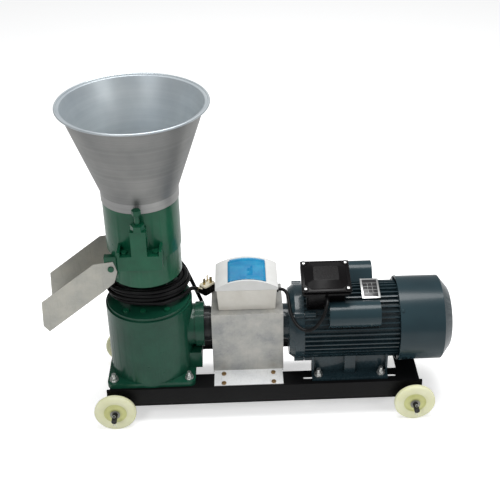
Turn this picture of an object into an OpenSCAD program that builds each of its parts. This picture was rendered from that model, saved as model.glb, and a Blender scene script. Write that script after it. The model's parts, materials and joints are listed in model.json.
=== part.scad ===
// Feed pellet mill: a flat-die press on a wheeled frame, driven by a foot-mounted motor.
// Millimetres, +Z up, X along the frame from the chute to the fan cover.

/* [Layout] */
// Height of the drive line above the frame's top
shaft_height = 111; // [108:1:125]
// Press axis to the middle of the coupling guard
guard_offset = 233; // [228:1:236]
// Press axis to the face of the motor's drive end shield
motor_offset = 332; // [328:1:345]

/* [Base frame] */
// Length of the side rails
frame_length = 746; // [735:1:800]
// Press axis to the left end of the rails
frame_left = 100; // [96:1:110]
// Width over both rails
frame_width = 214; // [212:1:224]
// Leg of the rail angle
rail_size = 50; // [48:1:56]
// Thickness of the rail angle
rail_wall = 5; // [4:0.5:7]
// Width of the motor slots
slot_width = 11; // [10.8:0.1:13]
// Length of the motor slots
slot_length = 76; // [40:1:90]
// Width of the axle hanger plates
hanger_width = 40; // [30:1:50]
// Thickness of the axle hanger plates
hanger_wall = 6; // [4:0.5:8]

/* [Wheels] */
// Radius of the wheels
wheel_radius = 50; // [45:1:60]
// Width of the wheels over the rim
wheel_width = 25; // [22:1:28]
// Frame end to the axle centre
wheel_inset = 12; // [10:0.5:16]
// Thickness of the wheel rim
rim_thickness = 8; // [5:0.5:12]
// Thickness of the wheel's web
web_thickness = 8; // [5:0.5:12]
// Radius of the wheel hub
hub_radius = 20; // [17:0.5:24]
// Depth of the hub's face behind the rim
hub_recess = 4; // [2:0.5:6]
// Radius of the axles
axle_radius = 6.5; // [5:0.5:8]
// Length of axle outside the rails
axle_overhang = 53; // [48:1:60]

/* [Gearbox] */
// Length of the foot flange along the frame
flange_length = 210; // [206:1:216]
// Width of the foot flange
flange_width = 200; // [190:1:206]
// Thickness of the foot flange
flange_thickness = 12; // [8:0.5:16]
// Outer radius of the drum
drum_radius = 102; // [101:0.5:104]
// Wall of the drum
drum_wall = 10; // [7:0.5:12]
// Height of the housing over the frame
housing_height = 193; // [188:1:200]
// Radius of the cover plate
cover_radius = 98; // [95:0.5:101]
// Thickness of the cover plate
cover_thickness = 8; // [6:0.5:11]
// Radius of the cover's bolt circle
cover_bolt_circle = 81; // [79:0.5:84]
// Number of cover bolts
cover_bolt_count = 5; // [4:1:8]
// Radius of the round flange round the drive shaft
input_flange_radius = 54; // [52:0.5:58]
// Thickness of the round flange
input_flange_thickness = 21; // [16:0.5:22]
// Radius of the drive shaft's bearing cap
bearing_cap_radius = 43; // [40:0.5:46]
// Thickness of the drive shaft's bearing cap
bearing_cap_thickness = 18; // [12:0.5:20]
// Width of the boss under the drive shaft
boss_width = 90; // [80:1:96]

/* [Gears and shafts] */
// Gear module at the large end of the teeth
gear_module = 4.2; // [4:0.05:4.3]
// Teeth on the pinion
pinion_teeth = 12; // [12:1:12]
// Teeth on the bevel gear
gear_teeth = 36; // [36:1:36]
// Width of the teeth along the pitch cone
tooth_face = 24; // [18:1:26]
// Backlash as a share of the tooth thickness
backlash_share = 0.22; // [0.15:0.01:0.3]
// Radius of the press shaft in the gear and the upper bearing
press_shaft_radius = 20; // [18:0.5:21]
// Radius of the press shaft in the lower bearing
lower_journal_radius = 15; // [12:0.5:16]
// Radius of the press shaft in the die
die_seat_radius = 16; // [12:0.5:17]
// Radius of the drive shaft
drive_shaft_radius = 15; // [12:0.5:16]
// Radial clearance of turned seats
running_clearance = 0.05; // [0.03:0.01:0.08]
// Radial clearance of bolts, pins and cords
loose_clearance = 0.3; // [0.3:0.05:0.4]

/* [Press barrel] */
// Radius of the neck over the gearbox
neck_radius = 46; // [44:0.5:47]
// Height of the neck
neck_height = 77; // [72:1:84]
// Outer radius of the die chamber
chamber_radius = 83; // [80:0.5:84]
// Height of the die chamber
chamber_height = 84; // [80:1:92]
// Outer radius of the roller housing and of the chamber's rim
barrel_radius = 85.5; // [84.5:0.5:88]
// Height of the chamber's rim
rim_height = 12; // [8:1:16]
// Bore of the barrel
barrel_bore = 75.5; // [75.2:0.1:76.5]
// Thickness of the chamber's floor
chamber_floor = 8; // [6:0.5:12]
// Height of the roller housing
roller_housing_height = 134; // [128:1:142]
// Width of the clamping lugs
lug_width = 98; // [90:1:106]
// Press axis to the front of the lugs
lug_reach = 112; // [111:0.5:116]
// Thickness of each lug
lug_thickness = 18; // [14:0.5:22]
// Width of the stem over the lugs
stem_width = 34; // [32:0.5:38]
// Height of the stem over the lugs
stem_height = 62; // [58:1:68]
// Width of the discharge opening
discharge_width = 90; // [70:1:94]

/* [Die and rollers] */
// Radius of the flat die
die_radius = 74; // [72:0.5:75]
// Thickness of the flat die
die_thickness = 20; // [16:0.5:24]
// Radius of the pellet holes
pellet_hole_radius = 3; // [2:0.1:3.5]
// Distance between pellet holes
pellet_hole_pitch = 9.6; // [9:0.1:12]
// Radius of the rollers
roller_radius = 30; // [28:0.5:30]
// Width of the rollers
roller_width = 30; // [24:1:32]
// Distance from the press axis to the rollers
roller_offset = 36; // [34:0.5:38]
// Grooves round each roller
roller_grooves = 24; // [16:1:30]
// Radius of the roller shaft
roller_shaft_radius = 12.5; // [10:0.5:12.5]
// Rest gap between rollers and die
roller_gap = 0.5; // [0.4:0.1:1]
// Lift of the roller shaft
roller_lift = 4; // [2:0.5:5]
// Radius of the adjusting bolts
adjuster_radius = 5.5; // [4:0.5:6]
// Press axis to the adjusting bolts
adjuster_offset = 100; // [99:0.5:101]

/* [Hopper] */
// Outer radius of the hopper's rim
hopper_rim_radius = 165; // [150:1:180]
// Radius of the cone under the rim
hopper_mouth_radius = 154; // [140:1:156]
// Height of the hopper over the roller housing
hopper_height = 204.6; // [180:1:230]
// Sheet of the hopper
hopper_sheet = 1.5; // [1.2:0.1:2.5]
// Depth of the skirt round the roller housing
skirt_depth = 22; // [16:1:26]

/* [Chute] */
// Inside width of the chute
chute_width = 120; // [120:1:130]
// Length of the chute from the barrel's lugs
chute_length = 175.6; // [150:1:200]
// Sheet of the chute
chute_sheet = 1.8; // [1.2:0.1:2.5]

/* [Coupling] */
// Radius of the coupling flanges
coupling_radius = 43; // [40:0.5:45]
// Thickness of each coupling flange
coupling_flange = 22; // [16:0.5:26]
// Radius of the coupling hubs
coupling_hub_radius = 26; // [22:0.5:30]
// Number of coupling pins
coupling_pin_count = 4; // [3:1:6]

/* [Guard] */
// Length of the guard along the frame
guard_length = 171; // [165:1:176]
// Height of the guard over the frame
guard_height = 168; // [164:1:172]
// Press axis plane to the guard's front
guard_front = 48; // [47:0.5:52]
// Press axis plane to the guard's back
guard_back = 78; // [76:0.5:82]
// Sheet of the guard
guard_sheet = 2; // [1.5:0.1:3]
// Middle of the guard to its bolts
guard_bolt_offset = 60; // [50:1:70]

/* [Switch box] */
// Width of the tray at its foot
tray_width = 135; // [130:1:136]
// Width of the tray at its top
tray_top_width = 143; // [140:1:144]
// Depth of the box
box_depth = 107; // [102:1:112]
// Height of the tray
tray_height = 56; // [52:1:62]
// Width of the cover
box_cover_width = 149; // [147:1:154]
// Height of the cover's straight edge
cover_edge = 6; // [4:0.5:9]
// Rise of the cover's arch
cover_rise = 22; // [18:0.5:26]
// Wall of the box
box_wall = 2.5; // [2:0.1:3]
// Width of the window
window_width = 91; // [84:1:96]
// Depth of the window
window_depth = 88; // [80:1:92]
// Width of the breaker's nose
breaker_nose_width = 45; // [40:1:50]
// Depth of the two-pole breaker
breaker_depth = 36; // [30:1:40]

/* [Motor] */
// Outer radius over the cooling fins
body_radius = 93; // [90:0.5:95]
// Depth of the cooling fins
fin_depth = 8; // [5:0.5:10]
// Number of cooling fins round the body
fin_count = 44; // [36:2:48]
// Length of the finned body
body_length = 226; // [216:1:236]
// Thickness of the drive end shield
shield_length = 36; // [30:1:42]
// Radius of the drive end shield
shield_radius = 90; // [87:0.5:92]
// Radius of the fan cover
fan_cover_radius = 102; // [100:0.5:104]
// Length of the fan cover
fan_cover_length = 147; // [140:1:152]
// Length of the fan cover's sloped end
fan_cover_slope = 41; // [30:1:46]
// Radius of the fan cover's flat end
fan_cover_end_radius = 80; // [74:1:84]
// Spokes in the fan cover's grille
grille_spokes = 12; // [8:1:20]
// Length of the motor foot
foot_length = 184; // [176:1:190]
// Width over both motor feet
foot_width = 194; // [190:1:200]
// Thickness of the motor feet
foot_thickness = 7; // [5:0.5:10]
// Distance between the foot bolts along the frame
foot_bolt_pitch = 152; // [140:1:156]
// Distance between the bolts across the frame
bolt_gauge = 164; // [160:1:166]
// Radius of the motor shaft
motor_shaft_radius = 14; // [12:0.5:15]
// Radius of the rotor
rotor_radius = 57.6; // [50:0.1:58]
// Radius of the running capacitor's cover
front_capacitor_cover = 30; // [27:0.5:31]
// Radius of the starting capacitor's cover
rear_capacitor_cover = 28; // [26:0.5:29]
// Length of the capacitor covers
capacitor_cover_length = 127; // [120:1:132]
// Length of the terminal box lid
lid_length = 115; // [108:1:120]
// Width of the terminal box lid
lid_width = 96; // [90:1:100]
// Motor axis to the underside of the terminal box lid
terminal_height = 150; // [144:1:154]

/* [Cords] */
// Radius of the mains lead
mains_radius = 4.75; // [4:0.05:4.85]
// Radius of the motor lead
motor_lead_radius = 4; // [3:0.1:4.5]

/* [Hidden] */

// General
overrun = 1;
round_facets = 72;
small_facets = 24;
quarter = 90;
turn = 360;
seat_gap = 0.3;

// Levels from the floor up
frame_bottom = wheel_radius;
frame_top = frame_bottom + rail_size;
flange_top = frame_top + flange_thickness;
housing_top = frame_top + housing_height;
cover_top = housing_top + cover_thickness;
neck_top = cover_top + neck_height;
chamber_top = neck_top + chamber_height;
roller_top = chamber_top + roller_housing_height;
hopper_top = roller_top + hopper_height;
drive_z = frame_top + shaft_height;
guard_top = frame_top + guard_height;

// Stations along X from the press axis
frame_right = frame_length - frame_left;
motor_body_start = motor_offset + shield_length;
motor_body_end = motor_body_start + body_length;
fan_cover_end = motor_body_end + fan_cover_length;
ear_near = barrel_radius * 0.7;
ear_length = 27;
ear_far = ear_near + ear_length;
chute_far = ear_near + 7 + chute_length;
origin_x = (fan_cover_end - chute_far) / 2;

// Base frame
rail_inner = frame_width / 2 - rail_size;
web_inner = frame_width / 2 - rail_wall;
left_wheel_x = -frame_left + wheel_inset;
right_wheel_x = frame_right - wheel_inset;
axle_notch = axle_radius + 1;
hanger_drop = 20;
motor_bolt_x = motor_body_start + 34;
foot_middle = motor_bolt_x + foot_bolt_pitch / 2;

// Wheels
wheel_gap = 2;
wheel_face = frame_width / 2 + wheel_gap + wheel_width;
wheel_fit = 0.25;
washer_radius = 14;
washer_thickness = 2;
split_pin_radius = 1.4;
split_pin_tail = 24;
split_pin_inset = 7;

// Fasteners
m10_radius = 5;
m10_af = 16;
m8_radius = 4;
m8_af = 13;
m6_radius = 3;
m6_af = 10;
head_share = 0.65;

// Gearbox
drum_bore = drum_radius - drum_wall;
gearbox_corner = 14;
hold_down_x = flange_length / 2 - 15;
drum_floor = 6;
bottom_bearing_z = flange_top + 2;
bottom_seat_wall = 8;
input_flange_x = drum_radius + 6;
input_flange_end = input_flange_x + input_flange_thickness;
boss_reach = drum_radius + 19;
boss_shoulder = 50;
bearing_cap_end = input_flange_end + bearing_cap_thickness;
cap_bolt_circle = bearing_cap_radius - 7;
cap_bolt_count = 4;
input_spigot_radius = 38;
input_spigot_start = drum_bore - 8;
plug_place = [-8, -66];
plug_radius = 5;

// Bearings: bore radius, outer radius, width
lower_bearing = [lower_journal_radius, 36, 19];
upper_bearing = [press_shaft_radius, 40, 18];
input_bearing = [drive_shaft_radius, 31, 16];
drive_end_bearing = [motor_shaft_radius, 26, 15];
upper_bearing_z = cover_top + 29;
input_bearing_inner_x = input_spigot_start + 2;
input_bearing_outer_x = input_bearing_inner_x + input_bearing[2] + 4;
race_share = 0.3;

// Bevel gears
shaft_ratio = gear_teeth / pinion_teeth;
gear_angle = atan(shaft_ratio);
pinion_angle = 90 - gear_angle;
gear_pitch_radius = gear_module * gear_teeth / 2;
pinion_pitch_radius = gear_module * pinion_teeth / 2;
cone_distance = norm([gear_pitch_radius, pinion_pitch_radius]);
pressure_angle = 20;
gear_addendum_share = 0.75;
pinion_addendum_share = 1.0;
dedendum_share = 1.25;
gear_back = 14;
gear_hub_radius = 34;
gear_hub_length = 30;

// Press shaft stations
shaft_shoulder_z = neck_top + 77;
die_bottom = shaft_shoulder_z;
die_top = die_bottom + die_thickness;
nut_height = 10;
nut_af = 38;
shaft_top = die_top + nut_height + 2;
disc_z = neck_top + chamber_floor + 6;
disc_thickness = 5;
disc_radius = 70;
disc_hub_radius = 30;
disc_hub_height = 12;
vane_count = 4;
vane_height = 16;
vane_width = 5;

// Die
die_keep_out = 34;
die_rim = 5;
jack_hole_radius = 4.5;
jack_hole_place = 26;
key_width = 8;
key_depth = 3;

// Rollers
roller_z = die_top + roller_radius + roller_gap;
bush_wall = 3.5;
bush_radius = roller_shaft_radius + bush_wall;
bush_flange = 2;
bush_flange_radius = 19;
groove_radius = 2;
shaft_end = lug_reach - 6;
shaft_flat = 11;
adjuster_tip = roller_z + shaft_flat;
stem_top = chamber_top + lug_thickness + stem_height;
adjuster_head_z = stem_top + 38;
adjuster_head = 12;
adjuster_af = 18;
locknut_height = 14;
locknut_af = 27;
lug_bolt_x = 35;
lug_bolt_y = 96;
lug_wing = 12;
lug_wing_wall = 6;

// Discharge opening and ears
discharge_height = 60;
discharge_bottom = neck_top + chamber_floor;
ear_bottom = neck_top + 22;
ear_top = chamber_top - 14;
ear_screw_z = neck_top + 39;
ear_screw_x = -(ear_near + 13);
ear_screw_radius = 7;
ear_thickness = 14;

// Coupling
coupling_gap = 6;
coupling_middle = guard_offset - 8;
pin_circle = 32;
pin_radius = 5;
sleeve_radius = 8;
sleeve_length = 16;
coupling_hub_length = 42;
pinion_shaft_end = coupling_middle - 4;
motor_shaft_start = coupling_middle + 4;

// Guard and its box
guard_foot = 56;
guard_back_foot = 26;
guard_notch = 2.4;
guard_bolt_rows = [-97, -63, 92];
box_front = -28;
box_back = box_front + box_depth;
tray_bottom = guard_top;
tray_top = tray_bottom + tray_height;
cover_spring_z = tray_top + cover_edge;
cover_arch_radius = (pow(box_cover_width / 2, 2) + pow(cover_rise, 2)) / (2 * cover_rise);
cover_arch_centre = cover_spring_z + cover_rise - cover_arch_radius;
window_front = box_front + 5;
window_x = guard_offset + 1;
window_floor = tray_top + 8;
well_wall = 2;
flap_thickness = 2;
flap_gap = 0.5;
flap_pin_radius = 1.5;
breaker_x = guard_offset + 8;
breaker_y = 29;
breaker_length = 78;
breaker_body_top = tray_top - 8;
breaker_nose_top = window_floor + well_wall + 4;
toggle_pivot_z = breaker_nose_top - 6;
toggle_radius = 8;
toggle_height = 7;
toggle_thickness = 5;
toggle_bar = 4;
toggle_bar_gap = 2.2;

// Motor
core_radius = body_radius - fin_depth;
body_wall = 8;
fin_thickness = 3.2;
body_bore = core_radius - body_wall;
stator_length = 120;
stator_start = motor_body_start + 56;
rotor_gap = 0.6;
stator_bore = rotor_radius + rotor_gap;
winding_overhang = 24;
shield_wall = 7;
shield_nose_radius = 48;
shield_step = 14;
ear_face = shield_step + 2;
ear_start = ear_face - 4;
ear_end = shield_length - 1;
ear_circle = 90;
ear_radius = 8;
fan_shield_length = 24;
fan_start = motor_body_end + fan_shield_length + 16;
fan_length = 36;
fan_radius = 84;
fan_hub_radius = 22;
blade_count = 8;
blade_thickness = 3;
fan_sheet = 1.6;
rotor_shaft_end = fan_start + fan_length - 4;
grille_rings = [22, 34, 46, 58, 70];
grille_slot = 6;
grille_spoke = 4;
pedestal_face = 80;
foot_rib = 26;
foot_end_rib = 5;
terminal_x = motor_body_start + 50;
terminal_tilt = 14;
terminal_base_length = 92;
terminal_base_width = 76;
terminal_wall = 3;
lid_plate = 6;
lid_rise = 10;
lid_screw_inset = 8;
lid_top_share = 0.7;
front_capacitor_angle = 52;
front_capacitor_reach = body_radius + 12;
front_capacitor_x = motor_body_start + 50;
rear_capacitor_place = [72, 89];
rear_capacitor_x = motor_body_start + 46;
capacitor_wall = 2.5;

// shared shapes

module machine(finish) {
  color(finish) translate([-origin_x, 0, 0]) children();
}

module rod(radius, height, center = false) {
  cylinder(r = radius, h = height, center = center, $fn = round_facets);
}

module pin(radius, height, center = false) {
  cylinder(r = radius, h = height, center = center, $fn = small_facets);
}

module ring(outer, inner, height) {
  difference() {
    rod(outer, height);
    translate([0, 0, -overrun]) rod(inner, height + 2 * overrun);
  }
}

module along_x(x, y = 0, z = drive_z) {
  translate([x, y, z]) rotate([0, quarter, 0]) children();
}

module hexagon(across_flats, height) {
  cylinder(d = across_flats / cos(turn / 12), h = height, $fn = 6);
}

module stud(radius, across_flats, depth, rise) {
  translate([0, 0, -depth]) pin(radius, depth + rise);
  hexagon(across_flats, radius * 2 * head_share);
}

module rounded(length, width, corner) {
  square([length - 2 * corner, width], center = true);
  square([length, width - 2 * corner], center = true);
  for (x = [-1, 1], y = [-1, 1])
    translate([x * (length / 2 - corner), y * (width / 2 - corner)])
      circle(r = corner, $fn = small_facets);
}

module plate(length, width, corner, height) {
  linear_extrude(height) rounded(length, width, corner);
}

module corners(x, y) {
  for (sx = [-1, 1], sy = [-1, 1]) translate([sx * x, sy * y, 0]) children();
}

module around(count, radius, first = 0) {
  for (i = [0 : count - 1])
    rotate([0, 0, first + i * turn / count]) translate([radius, 0, 0]) children();
}

// A tube whose wall is swept through points, closed by flat ends.
module swept_tube(points, radius, sides) {
  last = len(points) - 1;
  frames = tube_frames(points);
  corners_3d = [
    for (i = [0 : last], k = [0 : sides - 1])
      points[i] + radius * (cos(k * turn / sides) * frames[i][0]
        + sin(k * turn / sides) * frames[i][1])
  ];
  walls = [
    for (i = [0 : last - 1], k = [0 : sides - 1])
      let (a = i * sides + k, b = i * sides + (k + 1) % sides)
      each [[a, a + sides, b], [b, a + sides, b + sides]]
  ];
  start_cap = [for (k = [1 : sides - 2]) [0, k, k + 1]];
  end_cap = [for (k = [1 : sides - 2]) [last * sides, last * sides + k + 1, last * sides + k]];
  polyhedron(corners_3d, concat(walls, start_cap, end_cap));
}

function unit(v) = v / norm(v);

function tangent_at(p, i) =
  let (last = len(p) - 1)
  i == 0 ? unit(p[1] - p[0]) : i == last ? unit(p[last] - p[last - 1])
    : unit(unit(p[i + 1] - p[i]) + unit(p[i] - p[i - 1]));

// Frames carried along the points without twist.
function tube_frames(p) = [
  for (i = 0, t = tangent_at(p, 0),
      s = unit(cross(t, abs(t[2]) < 0.9 ? [0, 0, 1] : [0, 1, 0]));
    i < len(p);
    i = i + 1,
      t = i < len(p) ? tangent_at(p, i) : t,
      s = unit(s - (s * t) * t))
    [s, cross(t, s)]
];

// Catmull-Rom course through round points, with straight ends.
function course_point(p, i, t) =
  let (last = len(p) - 1, a = p[max(i - 1, 0)], b = p[i], c = p[min(i + 1, last)],
    d = p[min(i + 2, last)])
  0.5 * (2 * b + (c - a) * t + (2 * a - 5 * b + 4 * c - d) * t * t
    + (3 * b - a - 3 * c + d) * t * t * t);

function course(p, steps) = [
  for (i = [0 : len(p) - 2], k = [0 : i == 0 || i == len(p) - 2 ? 0 : steps - 1])
    course_point(p, i, k / steps),
  p[len(p) - 1]
];

// base frame and wheels

module rail_profile() {
  translate([-rail_size, rail_size - rail_wall]) square([rail_size, rail_wall]);
  translate([-rail_wall, 0]) square([rail_wall, rail_size]);
}

module rail() {
  translate([-frame_left, -frame_width / 2, frame_bottom])
    rotate([quarter, 0, quarter]) mirror([1, 0]) linear_extrude(frame_length) rail_profile();
}

module cross_member() {
  span = frame_width - 2 * rail_size;
  inner = frame_width - 2 * rail_wall;
  translate([-rail_size, -span / 2, frame_top - rail_wall]) cube([rail_size, span, rail_wall]);
  translate([-rail_wall, -inner / 2, frame_bottom])
    cube([rail_wall, inner, rail_size - rail_wall]);
}

module slot(length, width) {
  for (x = [-1, 1]) translate([x * (length - width) / 2, 0]) circle(d = width, $fn = small_facets);
  square([length - width, width], center = true);
}

module base_frame() machine("#1c1c1e") {
  difference() {
    union() {
      rail();
      mirror([0, 1, 0]) rail();
      translate([frame_right, 0, 0]) cross_member();
      translate([-frame_left + rail_size, 0, 0]) cross_member();
    }
    for (x = [left_wheel_x, right_wheel_x])
      translate([x, 0, frame_bottom]) rotate([quarter, 0, 0])
        pin(axle_notch, frame_width + 2 * overrun, true);
    translate([0, 0, frame_top - rail_wall - overrun])
      corners(hold_down_x, bolt_gauge / 2)
        pin(m10_radius + loose_clearance, rail_wall + 2 * overrun);
    for (x = [motor_bolt_x, motor_bolt_x + foot_bolt_pitch], y = [-1, 1])
      translate([x, y * bolt_gauge / 2, frame_top - rail_wall - overrun])
        linear_extrude(rail_wall + 2 * overrun) slot(slot_length, slot_width);
    guard_bolt_places(frame_top - rail_wall - overrun)
      pin(m6_radius + loose_clearance, rail_wall + 2 * overrun);
  }
  for (x = [left_wheel_x, right_wheel_x], y = [-1, 1])
    translate([x, y * (web_inner - hanger_wall / 2), frame_bottom]) hanger();
}

module hanger() {
  rotate([quarter, 0, 0]) linear_extrude(hanger_wall, center = true) difference() {
    translate([-hanger_width / 2, -hanger_drop])
      square([hanger_width, hanger_drop + rail_size - rail_wall]);
    circle(r = axle_radius + loose_clearance, $fn = small_facets);
  }
}

module wheel_axles() machine("#2b2b2d") {
  tip = frame_width / 2 + axle_overhang;
  for (x = [left_wheel_x, right_wheel_x])
    translate([x, 0, wheel_radius]) rotate([quarter, 0, 0]) difference() {
      union() {
        pin(axle_radius, 2 * tip, true);
        for (y = [-1, 1])
          translate([0, 0, y * (frame_width / 2 + wheel_gap / 2)])
            pin(axle_radius + wheel_gap + 2, wheel_gap - wheel_fit, true);
      }
      for (y = [-1, 1])
        translate([0, 0, y * (tip - split_pin_inset)]) rotate([quarter, 0, 0])
          pin(split_pin_radius + running_clearance, 2 * (axle_radius + overrun), true);
    }
}

// A moulded wheel: rim, thin web, face recess and hub, turned about +Z.
module wheel() {
  bore = axle_radius + wheel_fit;
  mid = wheel_width / 2;
  rotate_extrude($fn = round_facets) polygon([
    [bore, 0], [hub_radius, 0], [hub_radius, mid - web_thickness / 2],
    [wheel_radius - rim_thickness, mid - web_thickness / 2],
    [wheel_radius - rim_thickness, rim_thickness / 4],
    [wheel_radius - rim_thickness / 4, rim_thickness / 4],
    [wheel_radius, rim_thickness / 2], [wheel_radius, wheel_width - rim_thickness / 2],
    [wheel_radius - rim_thickness / 4, wheel_width],
    [wheel_radius - rim_thickness, wheel_width],
    [wheel_radius - rim_thickness - hub_recess, wheel_width - hub_recess / 2],
    [hub_radius * 1.5, mid + web_thickness / 2],
    [hub_radius, mid + web_thickness / 2 + hub_recess / 2],
    [hub_radius - hub_recess / 2, wheel_width - hub_recess],
    [bore, wheel_width - hub_recess]
  ]);
}

module wheel_at(x, side) {
  translate([x, side * (wheel_face - wheel_width), wheel_radius])
    rotate([-side * quarter, 0, 0]) wheel();
}

module wheel_front_left() machine("#dfdca0") wheel_at(left_wheel_x, -1);

module wheel_front_right() machine("#dfdca0") wheel_at(right_wheel_x, -1);

module wheel_rear_left() machine("#dfdca0") wheel_at(left_wheel_x, 1);

module wheel_rear_right() machine("#dfdca0") wheel_at(right_wheel_x, 1);

module wheel_retainers() machine("#b9b9b4") {
  tip = frame_width / 2 + axle_overhang;
  eye = 2 * split_pin_radius;
  eye_z = axle_radius + eye + seat_gap;
  for (x = [left_wheel_x, right_wheel_x], side = [-1, 1]) {
    translate([x, side * (wheel_face - hub_recess + wheel_fit), wheel_radius])
      rotate([-side * quarter, 0, 0])
        ring(washer_radius, axle_radius + loose_clearance, washer_thickness);
    translate([x, side * (tip - split_pin_inset), wheel_radius]) {
      translate([0, 0, -split_pin_tail])
        pin(split_pin_radius, split_pin_tail + eye_z);
      translate([0, 0, eye_z]) sphere(r = eye, $fn = small_facets);
    }
  }
}

// gearbox

// Cover screws go into bosses on the drum's inner wall.
cover_boss_depth = 22;
cover_boss_radius = 9;
cover_bolt_grip = 16;
cover_bolt_first = 36 - quarter;

module drum_cavity() {
  difference() {
    translate([0, 0, flange_top + drum_floor]) rod(drum_bore, housing_height);
    translate([0, 0, frame_top])
      rod(lower_bearing[1] + bottom_seat_wall, bottom_bearing_z + lower_bearing[2] - frame_top);
    around_cover_bolts(housing_top - cover_boss_depth) pin(cover_boss_radius, cover_boss_depth);
  }
}

module gearbox_housing() machine("#1f5a40") {
  difference() {
    union() {
      translate([0, 0, frame_top])
        plate(flange_length, flange_width, gearbox_corner, flange_thickness);
      translate([0, 0, frame_top]) rod(drum_radius, housing_height);
      translate([0, -boss_width / 2, flange_top])
        cube([boss_reach, boss_width, drive_z - input_flange_radius - flange_top]);
      along_x(0) rod(boss_shoulder, input_flange_x);
    }
    drum_cavity();
    translate([0, 0, bottom_bearing_z])
      rod(lower_bearing[1] + running_clearance, lower_bearing[2] + overrun);
    translate([0, 0, flange_top]) rod(lower_journal_radius + 4, lower_bearing[2]);
    along_x(0) rod(input_spigot_radius + running_clearance, input_flange_x + overrun);
    around_cover_bolts(housing_top - cover_bolt_grip)
      pin(m8_radius + loose_clearance, cover_bolt_grip + overrun);
    translate([0, 0, frame_top - overrun]) corners(hold_down_x, bolt_gauge / 2)
      pin(m10_radius + loose_clearance, flange_thickness + 2 * overrun);
  }
}

module gearbox_cover() machine("#1f5a40") {
  bolt_hole = m8_radius + loose_clearance;
  difference() {
    union() {
      translate([0, 0, housing_top]) rod(cover_radius, cover_thickness);
      translate([0, 0, cover_top]) rod(neck_radius, neck_height);
    }
    translate([0, 0, housing_top - overrun])
      rod(press_shaft_radius + 6, upper_bearing_z - housing_top + 2 * overrun);
    translate([0, 0, upper_bearing_z]) rod(upper_bearing[1] + running_clearance, neck_height);
    around_cover_bolts(housing_top - overrun) pin(bolt_hole, cover_thickness + 2 * overrun);
    translate([plug_place[0], plug_place[1], housing_top - overrun])
      pin(plug_radius + running_clearance, cover_thickness + 2 * overrun);
  }
}

module around_cover_bolts(z) {
  translate([0, 0, z]) around(cover_bolt_count, cover_bolt_circle, cover_bolt_first) children();
}

module gearbox_cover_bolts() machine("#2a6b4d") {
  around_cover_bolts(cover_top) stud(m8_radius, m8_af, cover_thickness + cover_bolt_grip - 2, 0);
  translate([plug_place[0], plug_place[1], cover_top]) {
    translate([0, 0, -cover_thickness]) pin(plug_radius, cover_thickness);
    pin(plug_radius + 2, 3);
  }
  along_x(bearing_cap_end) around(cap_bolt_count, cap_bolt_circle, turn / 8)
    stud(m6_radius, m6_af, bearing_cap_thickness + input_flange_thickness / 2, 0);
}

module gearbox_hold_down_bolts() machine("#c9cbcc") {
  corners(hold_down_x, bolt_gauge / 2) {
    translate([0, 0, flange_top]) {
      pin(m10_af * head_share, 2);
      translate([0, 0, 2]) stud(m10_radius, m10_af, 2 + flange_thickness + rail_wall,
        m10_radius * 2 + 6);
    }
    translate([0, 0, frame_top - rail_wall - m10_radius * 2 * head_share])
      hexagon(m10_af, m10_radius * 2 * head_share);
  }
}

module input_bearing_housing() machine("#1f5a40") {
  difference() {
    union() {
      along_x(input_flange_x) rod(input_flange_radius, input_flange_thickness);
      along_x(input_spigot_start)
        rod(input_spigot_radius, input_flange_x - input_spigot_start + overrun);
    }
    along_x(input_bearing_inner_x)
      rod(input_bearing[1] + running_clearance, input_flange_end - input_bearing_inner_x + overrun);
    along_x(input_spigot_start - overrun) rod(input_bearing[1] - 5, input_flange_x);
    along_x(input_flange_end - input_flange_thickness / 2)
      around(cap_bolt_count, cap_bolt_circle, turn / 8)
        pin(m6_radius + loose_clearance, input_flange_thickness);
  }
}

module input_bearing_cap() machine("#20262a") {
  rim = 4;
  difference() {
    along_x(input_flange_end) union() {
      rod(bearing_cap_radius, bearing_cap_thickness - rim);
      translate([0, 0, bearing_cap_thickness - rim]) rod(bearing_cap_radius - rim / 2, rim);
    }
    along_x(input_flange_end - overrun)
      rod(drive_shaft_radius + seal_width + running_clearance, bearing_cap_thickness + 2 * overrun);
    along_x(input_flange_end - overrun) around(cap_bolt_count, cap_bolt_circle, turn / 8)
      pin(m6_radius + loose_clearance, bearing_cap_thickness + 2 * overrun);
  }
}

seal_width = 8;
seal_length = 10;

// A bearing as two races with a row of balls between them.
module bearing(size) {
  bore = size[0] + running_clearance;
  wall = (size[1] - bore) * race_share;
  ball = (size[1] - bore - 2 * wall) / 2 + loose_clearance;
  mid = (size[1] + bore) / 2;
  difference() {
    ring(size[1], size[1] - wall, size[2]);
    translate([0, 0, size[2] / 2]) ball_row(mid, ball + loose_clearance);
  }
  difference() {
    ring(bore + wall, bore, size[2]);
    translate([0, 0, size[2] / 2]) ball_row(mid, ball + loose_clearance);
  }
  translate([0, 0, size[2] / 2]) ball_row(mid, ball);
}

// The row is a solid hoop, as the cage holds the balls together.
module ball_row(mid, radius) {
  rotate_extrude($fn = round_facets) translate([mid, 0]) circle(r = radius, $fn = small_facets);
}

module shaft_bearings() machine("#aeb2b5") {
  translate([0, 0, bottom_bearing_z]) bearing(lower_bearing);
  translate([0, 0, upper_bearing_z]) bearing(upper_bearing);
  along_x(input_bearing_inner_x) bearing(input_bearing);
  along_x(input_bearing_outer_x) bearing(input_bearing);
  along_x(motor_body_start - drive_end_bearing[2]) bearing(drive_end_bearing);
  along_x(motor_body_end) bearing(drive_end_bearing);
}

module shaft_seals() machine("#232323") {
  translate([0, 0, neck_top - seal_length])
    ring(upper_bearing[1], press_shaft_radius + running_clearance, seal_length);
  along_x(bearing_cap_end - seal_length)
    ring(drive_shaft_radius + seal_width, drive_shaft_radius + running_clearance, seal_length);
}

// shafts and bevel gears

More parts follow.
